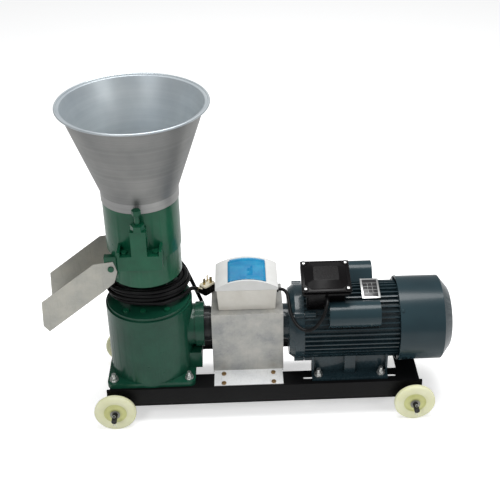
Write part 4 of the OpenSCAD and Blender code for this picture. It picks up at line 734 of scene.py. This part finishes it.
def wire(name: str, line: Sequence[Vector], radius: float, roundness: int, finish: Finish) -> Piece:
    """Makes a round wire or cord that rides on the frame.

    Args:
        name: The piece's name.
        line: Its middle line, in millimetres.
        radius: Its radius, in millimetres.
        roundness: Blender's bevel resolution.
        finish: Its finish.

    Returns:
        The new piece.
    """
    curve = bpy.data.curves.new(name, "CURVE")
    curve.dimensions = "3D"
    curve.bevel_depth = radius * MM
    curve.bevel_resolution = roundness
    curve.use_fill_caps = True
    spline = curve.splines.new("POLY")
    spline.points.add(len(line) - 1)
    for spot, point in zip(spline.points, line):
        spot.co = (*metres(point), 1.0)
    return fit(name, curve, finish, "frame")


def eased(node: str, finish: Finish, ease: float, smooth: float = 32.0,
          segments: int = 2) -> Piece:
    """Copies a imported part, merges its loose faces and rounds its edges.

    Args:
        node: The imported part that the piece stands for.
        finish: Its finish.
        ease: Width of the rounded edges, in millimetres.
        smooth: Angle past which an edge is rounded, in degrees.
        segments: Steps over each rounded edge.

    Returns:
        The new piece.
    """
    work = bmesh.new()
    work.from_mesh(frame["nodes"][node].data)
    bmesh.ops.remove_doubles(work, verts=work.verts[:], dist=0.00001)
    bmesh.ops.dissolve_limit(work, angle_limit=math.radians(0.8), verts=work.verts[:],
                             edges=work.edges[:], use_dissolve_boundaries=False)
    name = node + "_finished"
    piece = fit(name, pour(work, name), finish, BODY_OF[node], smooth)
    soften(piece, ease, smooth, segments).harden_normals = True
    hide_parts(node)
    return piece


def repaint(piece: Piece, finish: Finish,
            chosen: Callable[[bpy.types.MeshPolygon], bool]) -> None:
    """Gives one more finish to the faces that a test picks.

    Args:
        piece: The piece.
        finish: The further finish.
        chosen: Test on a face.
    """
    piece.data.materials.append(finish.material())
    number = len(piece.data.materials) - 1
    for face in piece.data.polygons:
        if chosen(face):
            face.material_index = number


def lying(point: Point, turn_x: float = 0.0, turn_y: float = 0.0) -> Matrix:
    """A stand at a point, turned about X and then about Y, in degrees."""
    return (Matrix.Translation(point) @ Matrix.Rotation(math.radians(turn_y), 4, "Y")
            @ Matrix.Rotation(math.radians(turn_x), 4, "X"))


# ---- studio


@dataclass
class Studio:
    """Camera, lamps, floor and sky."""
    camera_at: Point = (-0.025125, -1.84061, 1.59395)
    pitch: float = 60.395
    yaw: float = -3.0115
    lens: float = 67.27
    shift: tuple[float, float] = (-0.06667, -0.09712)
    sky: float = 0.33
    floor_lift: float = 0.5
    floor_half: float = 7.0
    aim: Point = (0.0, 0.0, 0.3)
    lamps: tuple[tuple[str, Point, float, float], ...] = (
        ("key", (-1.2, -1.9, 2.2), 0.9, 17), ("fill", (1.9, -1.5, 1.6), 1.4, 9),
        ("top", (0.1, 0.1, 2.5), 1.5, 58))

    def camera(self) -> None:
        """Sets the camera at the photograph's angle."""
        data = bpy.data.cameras.new("camera")
        data.lens = self.lens
        data.shift_x, data.shift_y = self.shift
        eye = put("camera", data)
        eye.location = self.camera_at
        eye.rotation_euler = (math.radians(self.pitch), 0, math.radians(self.yaw))
        bpy.context.scene.camera = eye

    def lamp(self, name: str, place: Point, size: float, watts: float) -> None:
        """Hangs a square lamp that faces the mill.

        Args:
            name: The lamp's name.
            place: Where it hangs, in metres.
            size: Length of its side, in metres.
            watts: Its power.
        """
        data = bpy.data.lights.new(name, "AREA")
        data.size = size
        data.energy = watts
        lamp = put(name, data)
        lamp.location = place
        way = Vector(self.aim) - Vector(place)
        lamp.rotation_euler = way.to_track_quat("-Z", "Y").to_euler()

    def air(self) -> None:
        """A white sky for the camera's own rays and a dim one for the rest."""
        coat = Coat("sky", bpy.data.worlds.new("sky"))
        rays = coat.node("ShaderNodeLightPath", {}, {}).outputs
        seen = coat.maths("MAXIMUM", Signal(coat, rays["Is Camera Ray"]),
                          Signal(coat, rays["Is Transmission Ray"]))
        dim = coat.node("ShaderNodeBackground", {}, {
            "Strength": self.sky, "Color": (0.98, 0.99, 1.0)})
        white = coat.node("ShaderNodeBackground", {}, {
            "Strength": 1.0, "Color": (1.0, 1.0, 1.0)})
        mix = coat.node("ShaderNodeMixShader", {}, {
            0: seen, 1: dim.outputs[0], 2: white.outputs[0]})
        coat.node("ShaderNodeOutputWorld", {}, {0: mix.outputs[0]})
        bpy.context.scene.world = coat.material

    def floor(self) -> None:
        """A plain pale floor, lifted to white for the camera's own rays."""
        sheet = bmesh.new()
        bmesh.ops.create_grid(sheet, x_segments=1, y_segments=1, size=self.floor_half)
        floor = put("floor", pour(sheet, "floor"))
        coat = Coat("floor_white")
        white_paint = {"Base Color": (0.93, 0.93, 0.93), "Roughness": 0.9,
                       "Specular IOR Level": 0.1}
        plain = coat.node("ShaderNodeBsdfPrincipled", {}, white_paint)
        lifted = coat.node("ShaderNodeBsdfPrincipled", {}, {
            **white_paint, "Emission Color": (1.0, 1.0, 1.0),
            "Emission Strength": self.floor_lift})
        seen = coat.node("ShaderNodeLightPath", {}, {}).outputs["Is Camera Ray"]
        both = coat.node("ShaderNodeMixShader", {}, {
            0: seen, 1: plain.outputs[0], 2: lifted.outputs[0]})
        coat.node("ShaderNodeOutputMaterial", {}, {0: both.outputs[0]})
        floor.data.materials.append(coat.material)

    def build(self) -> None:
        """Makes the lamps, the sky and the floor."""
        for name, place, size, watts in self.lamps:
            self.lamp(name, place, size, watts)
        bpy.context.scene.view_settings.view_transform = "Standard"
        self.air()
        self.floor()
        LOG.info("made the studio")


# ---- cords


def course(points: Sequence[Sequence[float]], steps: int) -> list[Vector]:
    """A smooth line through points, with straight first and last stretches.

    Args:
        points: The route's points.
        steps: Short lines for each stretch.

    Returns:
        The points of the smooth line.
    """
    points, last = [Vector(point) for point in points], len(points) - 1
    made: list[Vector] = []
    for i in range(last):
        count = 1 if i in (0, last - 1) else steps
        a, b = points[max(i - 1, 0)], points[i]
        c, d = points[i + 1], points[min(i + 2, last)]
        for k in range(count):
            t = k / count if count > 1 else 0.0
            made.append(0.5 * (2 * b + (c - a) * t + (2 * a - 5 * b + 4 * c - d) * t * t
                               + (3 * b - a - 3 * c + d) * t ** 3))
    return made + [points[-1]]


@dataclass
class Winding:
    """The spare length of the mains lead, wound round the neck in four layers."""
    loops: float = 7.5
    rings: int = 48
    first: float = 0.5
    reach: float = 98.0
    depth: float = 82.5
    centre_y: float = 15.0
    cord_radius: float = 4.75
    turns: int = 2
    tilt: float = 0.05
    base_z: float = 311.55

    def inward(self, phase: float) -> float:
        """Loops in from the outermost one."""
        layer, part = divmod(phase, self.turns)
        return part if layer % 2 == 0 else self.turns - part

    def climb(self, phase: float) -> float:
        """Layers climbed.

        Args:
            phase: Loops from the outer end.

        Returns:
            The layers, with a smooth step up.
        """
        nearest = round(phase / self.turns)
        if nearest == 0:
            return 0.0
        if nearest > 3:
            return 3.0
        part = max(0.0, min(1.0, (phase - nearest * self.turns + 0.25) * 2))
        return nearest - 1 + part * part * (3 - 2 * part)

    def at(self, phase: float) -> Vector:
        """The cord's middle at a phase, in millimetres.

        Args:
            phase: Loops from the outer end.

        Returns:
            The point.
        """
        step = (2 * self.cord_radius + 0.9) * self.inward(phase)
        angle = math.pi / 2 - phase * math.tau
        x = (self.reach - step) * math.cos(angle)
        y = self.centre_y + (self.depth - step) * math.sin(angle)
        rise = (2 * self.cord_radius + 0.6) * self.climb(phase)
        return Vector((x, y, self.base_z + rise + self.tilt * (self.centre_y + self.depth - y)))

    def line(self) -> list[Vector]:
        """The whole winding, with straight ends one diameter long.

        Returns:
            The points of the line.
        """
        count = int(self.loops * self.rings)
        body = [self.at(self.first + i / self.rings) for i in range(count + 1)]
        start = (body[0] - self.at(self.first + 0.02)).normalized()
        end = (body[-1] - self.at(self.first + self.loops - 0.02)).normalized()
        length = 2 * self.cord_radius
        return [body[0] + start * length, *body, body[-1] + end * length]


@dataclass
class Cords:
    """The mains lead with its plug, and the motor's lead."""
    mains_radius: float = 4.75
    motor_radius: float = 4.0
    steps: int = 10
    gland_tip: Point = (190.0, 101.0, 292.0)
    plug_centre: Point = (137.0, 53.0, 279.3)
    plug_turn: float = 45.0
    plug_rise: float = 40.0
    plug_half: float = 18.0
    plug_relief: float = 22.0
    plug_face_z: float = 290.3
    plug_pins_z: float = 292.85
    seam: float = 0.2
    coil_lead: float = 12.0
    box_outlet: Point = (308.5, -8.0, 311.0)
    lid_lean: float = 14.0
    motor_axis: Point = (418.0, 0.0, 211.0)
    inlet_rise: float = 136.7
    inlet_reach: float = 42.0

    def plug(self) -> Piece:
        """The plug: black body, pale face and brass pins.

        Returns:
            The plug's piece.
        """
        piece = eased("mains_plug", Finish.BLACK_MOULDING, 0.8)
        repaint(piece, Finish.PLUG_FACE,
                lambda face: self.plug_face_z < face.center.z / MM + self.seam / 4
                and face.center.z / MM < self.plug_pins_z + self.seam)
        repaint(piece, Finish.PIN_BRASS,
                lambda face: face.center.z / MM > self.plug_pins_z + self.seam)
        return piece

    def mains_route(self) -> list[Vector]:
        """The mains lead from the box to the plug.

        Returns:
            The points of its middle line.
        """
        turn, rise = math.radians(self.plug_turn), math.radians(self.plug_rise)
        back = Vector((-math.cos(turn), -math.sin(turn), 0))
        leave = back * math.cos(rise) + Vector((0, 0, math.sin(rise)))
        plug_end = Vector(self.plug_centre) + back * self.plug_half + leave * self.plug_relief
        coil = Winding().line()
        out_a = (coil[0] - coil[1]).normalized()
        out_b = (coil[-1] - coil[-2]).normalized()
        to_plug = [
            coil[0], coil[0] + out_a * self.coil_lead,
            (40, -62.5, 319), (60, -49.5, 318.5), (80, -32, 316.5), (90, -14, 313.5),
            (95, 1, 310.5), (101, 14.5, 305), plug_end + leave * 8, plug_end]
        tip = Vector(self.gland_tip)
        to_box = [
            coil[-1], coil[-1] + out_b * self.coil_lead,
            (46, 97, 342), (66, 93, 337), (81, 87, 322), (92, 80, 300), (104.5, 72, 272),
            (115, 66.5, 247), (123.5, 66.5, 222), (130, 72.5, 196), (141.5, 87, 177),
            (157.5, 107.5, 170), (173.5, 128, 177), (185, 143, 196), (189.5, 148.5, 222),
            (190, 149.5, 238), (190, 149, 254), (190, 143.9, 273), (190, 130, 287),
            tip + Vector((0, 10, 0)), tip]
        first = list(reversed(course(to_box, self.steps)))
        return first + list(reversed(coil))[1:-1] + course(to_plug, self.steps)

    def motor_route(self) -> list[Vector]:
        """The motor's lead from the box to the terminal box.

        Returns:
            The points of its middle line.
        """
        tilt = math.radians(self.lid_lean)
        out = Vector((0, -math.cos(tilt), -math.sin(tilt)))
        up = Vector((0, -math.sin(tilt), math.cos(tilt)))
        far = Vector(self.motor_axis) + up * self.inlet_rise + out * self.inlet_reach
        near = Vector(self.box_outlet)
        return course([
            near, near + Vector((7, 0, 0)), (323.5, -13, 310), (328.5, -23.5, 307.5),
            (331, -37, 302.5), (332.5, -53, 293.5), (336, -70, 281), (344, -86, 270),
            (355, -99, 263), (370, -107, 261), (386, -112, 270), (399, -114, 288),
            (408, -112, 306), (414, -104, 320), far + out * 20, far + out * 9, far], self.steps)

    def build(self) -> None:
        """Makes both cords."""
        plug = self.plug()
        for name, line, radius, end, lay, stands_for, extra in (
                ("mains_lead", self.mains_route(), self.mains_radius, "plug", "coiled",
                 ("mains_winding", "mains_lead_plug_end", "mains_lead_box_end"), [plug]),
                ("motor_cable", self.motor_route(), self.motor_radius, "object", "loose",
                 ("motor_lead",), [])):
            piece = wire(name, line, radius, 5, Finish.CORD_JACKET)
            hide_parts(*stands_for)
            length = sum((b - a).length for a, b in zip(line, line[1:])) * MM
            tuple(metres(line[0]))
            2 * radius * MM
            LOG.info("cord %s is %.3f m long", name, length)


# ---- sub-assemblies


@dataclass
class Base:
    """Welded frame, axles, wheels and their pins."""
    wheels: tuple[str, ...] = ("front_left", "front_right", "rear_left", "rear_right")
    wheel_x: tuple[float, float] = (-88.0, 634.0)
    track: float = 109.0
    tip: float = 153.0
    axle_z: float = 50.0
    axle_bore: float = 6.9
    groove: float = 27.2
    pin_wire: float = 1.3
    pin_eye: float = 3.4
    washer: float = 135.0

    def wheel(self, place: str) -> None:
        """A moulded wheel: narrow domed rim with a part line, ring groove and long hub.

        Args:
            place: Which wheel, such as front_left.
        """
        side = -1 if place.startswith("front") else 1
        x = self.wheel_x[0 if place.endswith("left") else 1]
        blank = Blank()
        blank.turned([
            (self.axle_bore, 0), (19, 0), (20, 1), (20.6, 9.4), (24, 10.8), (40, 11.6), (46, 11.2),
            (48.4, 11.8), (49.7, 13.4), (50, 15.4), (50, 17.6), (49.5, 18.0), (50, 18.4),
            (49.8, 20.4), (48.9, 22.0), (46.8, 23.4), (43, 24.4), (37, 24.8), (31, 23.9),
            (27.4, 22.2), (25.4, 20.9), (23.2, 20.7), (21.2, 21.4), (19.4, 22.6),
            (16, 23.4), (13, 23.8), (8, 23.8), (self.axle_bore, 23.0)],
            lying((x, side * self.track, self.axle_z), -90 * side), 96)
        piece = blank.finish(f"wheel_{place}_moulded", Finish.CREAM_WHEEL,
                             "wheel_cream", 50.0, place + "_wheel")
        centre = metres((x, 0, self.axle_z))
        repaint(piece, Finish.CREAM_GROOVE, lambda face: Vector(
            (face.center.x - centre.x, face.center.z - centre.z)).length < self.groove * MM)
        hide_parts("wheel_" + place)

    def split_pin(self, name: str, x: float, side: int) -> None:
        """A wire pin through an axle, with an eye above and two tails below.

        Args:
            name: The pin's name.
            x: Where the axle is.
            side: -1 in front, 1 at the rear.
        """
        y, eye = side * self.tip, self.pin_eye
        rise = 6.5 + eye
        eye_points = [
            Vector((x + eye * math.sin(a), y, self.axle_z + rise - eye * math.cos(a)))
            for a in [math.radians(25 + 310 * k / 20) for k in range(21)]]
        tails = [[Vector((x + lean * apart, y + side * out, self.axle_z - drop))
                  for apart, out, drop in ((0.7, 0, -6), (0.7, 0, 8), (1.6, 0.6, reach * 0.7),
                                           (3.4, 1.0, reach))]
                 for lean, reach in ((-1, 17.0), (1, 22.0))]
        line = list(reversed(tails[0])) + eye_points + tails[1]
        wire(name, line, self.pin_wire / 2, 2, Finish.BRIGHT_ZINC)

    def build(self) -> None:
        """Makes the base."""
        eased("base_frame", Finish.BLACK_FRAME, 0.9)
        eased("wheel_axles", Finish.BLACK_AXLE, 0.7)
        for wheel in self.wheels:
            self.wheel(wheel)
        washers = Blank()
        bore = self.axle_bore
        for x in self.wheel_x:
            for side in (-1, 1):
                washers.turned(
                    [(bore, 0), (12, 0), (12, 1.4), (11.5, 1.8), (7.4, 1.8), (bore, 1.4)],
                    lying((x, side * self.washer, self.axle_z), -90 * side), 48)
        piece = washers.finish("axle_washers", Finish.DULL_ZINC, "zinc_steel")
        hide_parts("wheel_retainers")
        for x, near in zip(self.wheel_x, ("left", "right")):
            for side, far in ((-1, "front"), (1, "rear")):
                self.split_pin(f"split_pin_{far}_{near}", x, side)


@dataclass
class Gearbox:
    """Cast housing, cover, bearing parts, shafts and gears."""

    def build(self) -> None:
        """Makes the gearbox."""
        eased("gearbox_housing", Finish.GREEN_CASTING, 1.8)
        eased("gearbox_cover", Finish.GREEN_CASTING, 1.2)
        eased("input_bearing_housing", Finish.GREEN_CASTING, 1.5)
        eased("input_bearing_cap", Finish.DARK_CAP, 1.2)
        eased("gearbox_cover_bolts", Finish.GREEN_BARREL, 0.6)
        eased("gearbox_hold_down_bolts", Finish.BRIGHT_ZINC, 0.5)
        coated(Finish.MACHINED, "shaft_bearings", "main_shaft", "bevel_gear", "pinion_shaft")
        coated(Finish.BLACK_MOULDING, "shaft_seals")


@dataclass
class Coupling:
    """Pin coupling under its sheet guard."""
    foot_top: float = 106.0

    def build(self) -> None:
        """Makes the coupling and the guard."""
        for node in ("gearbox_coupling_half", "motor_coupling_half"):
            eased(node, Finish.OILED_STEEL, 1.0)
        coated(Finish.MACHINED, "coupling_pins")
        guard = eased("coupling_guard", Finish.ZINC_SHEET, 1.8, 32.0, 3)
        # The rounded edges and the foot's upward faces take a near-white copy of the zinc: a
        # painted highlight.
        guard.modifiers[SOFT_EDGES].material = 1
        repaint(guard, Finish.BRIGHT_SHEET, lambda face: face.normal.z > 0.7
                and face.center.z < self.foot_top * MM)
        eased("guard_bolts", Finish.BRASS_ZINC, 0.5)


@dataclass
class SwitchBox:
    """Two-part plastic box with a breaker under a clear flap."""
    middle: float = 233.0
    arch_z: float = 214.86
    arch: float = 137.14
    arch_steps: int = 24
    half: float = 45.1
    hinge_half: float = 40.2
    hinge: tuple[float, float] = (191.0, 344.41)
    knuckle: float = 2.4
    shell_gap: float = 0.5
    shell_top: float = 2.7
    rim_depth: float = 3.6
    rim_wall: float = 1.6
    rim_z: float = 342.2
    side_lean: float = 18.5
    flap_y: tuple[float, float] = (-24.0, 67.5)
    well_y: tuple[float, float] = (-22.4, 64.4)

    def arched(self, blank: Blank, sides: tuple[float, float], low: float, high: float,
               near: float, far: float) -> None:
        """Spins a slab of the box's arch.

        Args:
            blank: The mesh that gets it.
            sides: Its reach to the left and to the right.
            low: Inner radius.
            high: Outer radius.
            near: Where it starts along Y.
            far: Where it ends along Y.
        """
        left, right = (math.asin(side / self.arch) for side in sides)
        start = [Vector((self.middle - radius * math.sin(left), y,
                         self.arch_z + radius * math.cos(left)))
                 for radius, y in ((low, near), (high, near), (high, far), (low, far))]
        face = blank.bm.faces.new([blank.bm.verts.new(point) for point in start])
        bmesh.ops.spin(
            blank.bm, geom=[face], cent=(self.middle, 0, self.arch_z), axis=(0, 1, 0),
            dvec=(0, 0, 0), angle=left + right, steps=self.arch_steps, use_merge=False,
            use_normal_flip=False, use_duplicate=False)

    def flap(self) -> None:
        """The clear flap with its knuckle round the hinge's axis and its inner rim."""
        near, far = self.well_y
        shell = Blank()
        self.arched(shell, (self.hinge_half, self.half), self.arch + self.shell_gap,
                    self.arch + self.shell_top, *self.flap_y)
        long, (pin_x, pin_z) = far - near - 0.6, self.hinge
        shell.cone(self.knuckle, self.knuckle, long, lying((pin_x, far - 0.3, pin_z), 90), 32)
        shell.block((2.2, long, 1.4), lying((pin_x + 1.7, (near + far) / 2, pin_z + 1.7)))
        piece = shell.finish("switch_flap_clear", Finish.FLAP, "flap_blue", 30.0, "switch_flap")
        soften(piece, 0.6, 40)
        rim = Blank()
        wall, deep, reach = self.rim_wall, self.rim_depth, self.half - 1.4
        for start, end in ((near, near + wall), (far - wall, far)):
            self.arched(rim, (reach, reach), self.arch - deep, self.arch + 0.4, start, end)
        for side in (-1, 1):
            rim.block((wall, far - near - 3.4, deep), lying(
                (self.middle + side * (self.half - 2.3), (near + far) / 2, self.rim_z),
                0, side * self.side_lean))
        rim.finish("switch_flap_rim", Finish.FLAP_EDGE, "flap_blue", 30.0, "switch_flap")
        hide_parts("switch_flap")

    def build(self) -> None:
        """Makes the switch box."""
        eased("switch_box_tray", Finish.BOX_TRAY, 2.0, 32.0, 3)
        eased("switch_box_cover", Finish.BOX_SHELL, 0.9, 32.0, 3)
        self.flap()
        eased("circuit_breaker", Finish.BREAKER_WHITE, 0.5)
        eased("breaker_toggle", Finish.TOGGLE_BLUE, 0.5)
        eased("cable_glands", Finish.BLACK_MOULDING, 0.5)


@dataclass
class Motor:
    """Foot-mounted motor with capacitors, terminal box and fan cover."""
    axis_z: float = 211.0
    plate_at: Point = (528.5, -10.0, 307.1)
    plate_lean: float = 12.0
    lid_x: float = 418.0
    lid_rise: float = 155.0
    lid_lean: float = 14.0
    lid_screw: tuple[float, float] = (49.5, 40.0)
    cover_radius: float = 102.0
    cover_rim_x: float = 600.0
    cover_knee: float = 700.0
    cover_end: float = 741.0
    cover_end_seen: float = 723.0
    end_taper: float = 0.1
    front_lift: float = 5.0
    front_start: float = 418.0
    front_inset: float = 6.0
    front_share: float = 0.945

    def nameplate(self) -> None:
        """A bare plate on a cast pad, with a raised rim and four rivets."""
        place = lying(self.plate_at, self.plate_lean)
        pad = Blank()
        pad.block((40, 58, 22), place @ Matrix.Translation((0, 0, -11.6)), 1.5)
        pad.finish("nameplate_pad", Finish.TEAL_CASTING, "motor_teal")
        rim = Blank()
        rim.block((44, 64, 0.9), place, 0.3)
        for x in (-19.6, 19.6):
            for y in (-29.6, 29.6):
                rim.cone(1.5, 1.1, 0.7, place @ Matrix.Translation((x, y, 0.4)), 16, 0.2)
        rim.finish("nameplate_rim", Finish.PLATE_METAL, "zinc_steel")
        field = Blank()
        field.block((35, 55, 0.4), place @ Matrix.Translation((0, 0, 0.5)), 0.12)
        field.finish("nameplate_field", Finish.PLATE_FIELD, "zinc_steel")
        lines = Blank()
        for y in (-16.5, -5.5, 5.5, 16.5):
            lines.block((33, 0.5, 0.2), place @ Matrix.Translation((0, y, 0.75)))
        for x in (-5.5, 5.5):
            lines.block((0.5, 33.5, 0.2), place @ Matrix.Translation((x, 0, 0.76)))
        lines.finish("nameplate_lines", Finish.PLATE_METAL, "zinc_steel")

    def lid(self) -> None:
        """The terminal box's lid: a plate with a raised, bevelled middle."""
        tilt, rise = math.radians(self.lid_lean), self.lid_rise
        place = lying((self.lid_x, -rise * math.sin(tilt),
                       self.axis_z + rise * math.cos(tilt)), self.lid_lean)
        blank, screws = Blank(), Blank()
        blank.block((115, 96, 5.4), place @ Matrix.Translation((0, 0, 2.75)), 1.6)
        blank.block((109, 90, 6.4), place @ Matrix.Translation((0, 0, -2.4)), 1.2)
        blank.skin([[place @ Vector((*corner, z)) for corner in (
            (x, y - cut), (x - cut, y), (cut - x, y), (-x, y - cut),
            (-x, cut - y), (cut - x, -y), (x - cut, -y), (x, cut - y))]
            for x, y, cut, z in ((50.5, 41.5, 15, 5.2), (50, 41, 14.6, 6.6),
                                 (31, 23, 3, 15.2), (29.6, 21.6, 2.4, 15.9))])
        far_x, far_y = self.lid_screw
        for x in (-far_x, far_x):
            for y in (-far_y, far_y):
                corner = place @ Matrix.Translation((x, y, 0))
                blank.turned([(5.2, 5.2), (7.4, 5.2), (7.4, 6.3), (6.9, 6.8), (5.6, 6.8),
                              (5.2, 6.3)], corner, 32)
                screws.cone(4.6, 3.6, 2.4, corner @ Matrix.Translation((0, 0, 5.3)), 24, 0.5)
        piece = blank.finish("terminal_lid_moulded", Finish.BLACK_MOULDING,
                             "black_moulding", 24.0)
        soften(piece, 0.8, 24)
        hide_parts("terminal_box_lid")
        screws.finish("terminal_lid_screws", Finish.BRIGHT_ZINC, "zinc_steel")

    def capacitors(self) -> None:
        """Capacitors and covers, the front ones a little higher and shorter than packed."""
        pieces = (eased("capacitor_covers", Finish.TEAL_SHEET, 1.6),
                  eased("capacitors", Finish.CAPACITOR, 0.8))
        turn = math.radians(-self.front_lift)
        start = self.front_start * MM + PRESS_AXIS_X
        for vert in (vert for piece in pieces for vert in piece.data.vertices):
            if vert.co.y < 0:
                y, z = vert.co.y, vert.co.z - self.axis_z * MM
                vert.co = Vector((
                    start + self.front_inset * MM + (vert.co.x - start) * self.front_share,
                    y * math.cos(turn) - z * math.sin(turn),
                    y * math.sin(turn) + z * math.cos(turn) + self.axis_z * MM))

    def cover(self) -> None:
        """The fan cover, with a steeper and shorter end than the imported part's."""
        piece = eased("fan_cover", Finish.TEAL_SHEET, 0.7)
        knee = self.cover_knee * MM + PRESS_AXIS_X
        reach = (self.cover_end - self.cover_knee) * MM
        kept = (self.cover_end_seen - self.cover_knee) / (self.cover_end - self.cover_knee)
        for vert in piece.data.vertices:
            past = (vert.co.x - knee) / reach
            if past > 0:
                taper = 1 - self.end_taper * past
                vert.co = Vector((knee + past * reach * kept, vert.co.y * taper,
                                  (vert.co.z - self.axis_z * MM) * taper + self.axis_z * MM))

    def cover_screws(self) -> None:
        """Four screws that hold the fan cover to the shield's lugs."""
        screws = Blank()
        for angle in (45, 135, 225, 315):
            turn = math.radians(angle)
            spot = (self.cover_rim_x, -self.cover_radius * math.sin(turn),
                    self.axis_z + self.cover_radius * math.cos(turn))
            screws.cone(4.6, 3.4, 2.4, lying(spot, math.degrees(turn)), 24, 0.5)
        screws.finish("fan_cover_screws", Finish.TEAL_SHEET, "zinc_steel")

    def build(self) -> None:
        """Makes the motor."""
        eased("motor_frame", Finish.TEAL_CASTING, 0.7)
        eased("drive_end_shield", Finish.TEAL_CASTING, 1.8)
        eased("fan_end_shield", Finish.TEAL_CASTING, 0.8)
        self.cover()
        self.capacitors()
        eased("terminal_box", Finish.BLACK_MOULDING, 1.4)
        self.lid()
        eased("motor_screws", Finish.BRIGHT_ZINC, 0.4)
        coated(Finish.COPPER, "stator")
        coated(Finish.MACHINED, "rotor_shaft")
        coated(Finish.BLACK_MOULDING, "cooling_fan")
        self.nameplate()
        self.cover_screws()


@dataclass
class Press:
    """Barrel, die, rollers, hopper and chute."""
    rim: float = 165.0
    bead: float = 2.6
    mouth: float = 154.0
    foot_z: float = 596.0
    top_z: float = 800.6
    sheet: float = 1.5
    skirt_inner: float = 85.8
    throat: float = 79.5
    skirt_low: float = 574.0

    def hopper(self) -> None:
        """A spun funnel with a rolled rim and a skirt over the barrel."""
        t, foot = self.sheet, self.foot_z + self.sheet
        rim_z = self.top_z - t - self.bead
        bead_r, bead_z = self.rim - self.bead, self.top_z - self.bead
        bead = [(bead_r + self.bead * math.sin(a), bead_z - self.bead * math.cos(a))
                for a in [math.radians(15 + 300 * k / 12) for k in range(13)]]
        flange = [(self.mouth + 1.0, rim_z + 0.4), (self.mouth + 3.2, rim_z)]
        inner, outer = self.skirt_inner, self.skirt_inner + t
        profile = ([(inner, self.skirt_low), (outer, self.skirt_low), (outer, self.foot_z + 0.2),
                    (outer + 0.6, foot + t)]
                   + flange + [(bead_r - 1.6, rim_z)] + bead
                   + [(bead_r - 2.4, rim_z + t), (self.mouth + 1.8, rim_z + t),
                      (self.mouth - 0.4, rim_z + t - 1.2),
                      (self.throat, foot + t), (self.throat, self.foot_z),
                      (inner, self.foot_z)])
        blank = Blank()
        blank.turned(profile, Matrix(), 144)
        piece = blank.finish("hopper_spun", Finish.HOPPER_OUTSIDE, "hopper_steel", 40.0)
        centre = Vector((PRESS_AXIS_X, 0, 0))

        def inside(face: bpy.types.MeshPolygon) -> bool:
            """Whether a face looks inwards or lies on the rim."""
            out = (face.center - centre).to_2d()
            return face.normal.to_2d().dot(out) < 0 or out.length > (self.mouth + 2.4) * MM

        # The inner faces and the rim get the lighter copy of the same steel: painted light.
        repaint(piece, Finish.HOPPER_INSIDE, inside)
        # The outer faces of the skirt get the lighter copy of the same steel: painted light.
        repaint(piece, Finish.HOPPER_SKIRT,
                lambda face: face.center.z < foot * MM and not inside(face))
        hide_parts("hopper")

    def build(self) -> None:
        """Makes the press."""
        self.hopper()
        eased("die_chamber", Finish.GREEN_BARREL, 1.6)
        eased("roller_housing", Finish.GREEN_BARREL, 1.6)
        eased("housing_bolts", Finish.GREEN_BARREL, 0.7)
        for node in ("front_adjusting_bolt", "rear_adjusting_bolt"):
            eased(node, Finish.GREEN_BARREL, 0.8)
        eased("discharge_chute", Finish.CHUTE_SHEET, 0.35)
        coated(Finish.DIE_BLUE, "flat_die")
        coated(Finish.MACHINED, "discharge_disc", "die_nut", "roller_shaft")
        coated(Finish.OILED_STEEL, "front_roller", "rear_roller")
        coated(Finish.BRONZE, "roller_bushes")


def main() -> None:
    """Builds the mill in order."""
    logging.basicConfig(level=logging.INFO, format="%(name)s: %(message)s")
    studio = Studio()
    studio.camera()
    for part in (Cords(), Base(), Gearbox(), Coupling(), SwitchBox(), Motor(), Press(), studio):
        part.build()


if __name__ == "__main__":
    main()
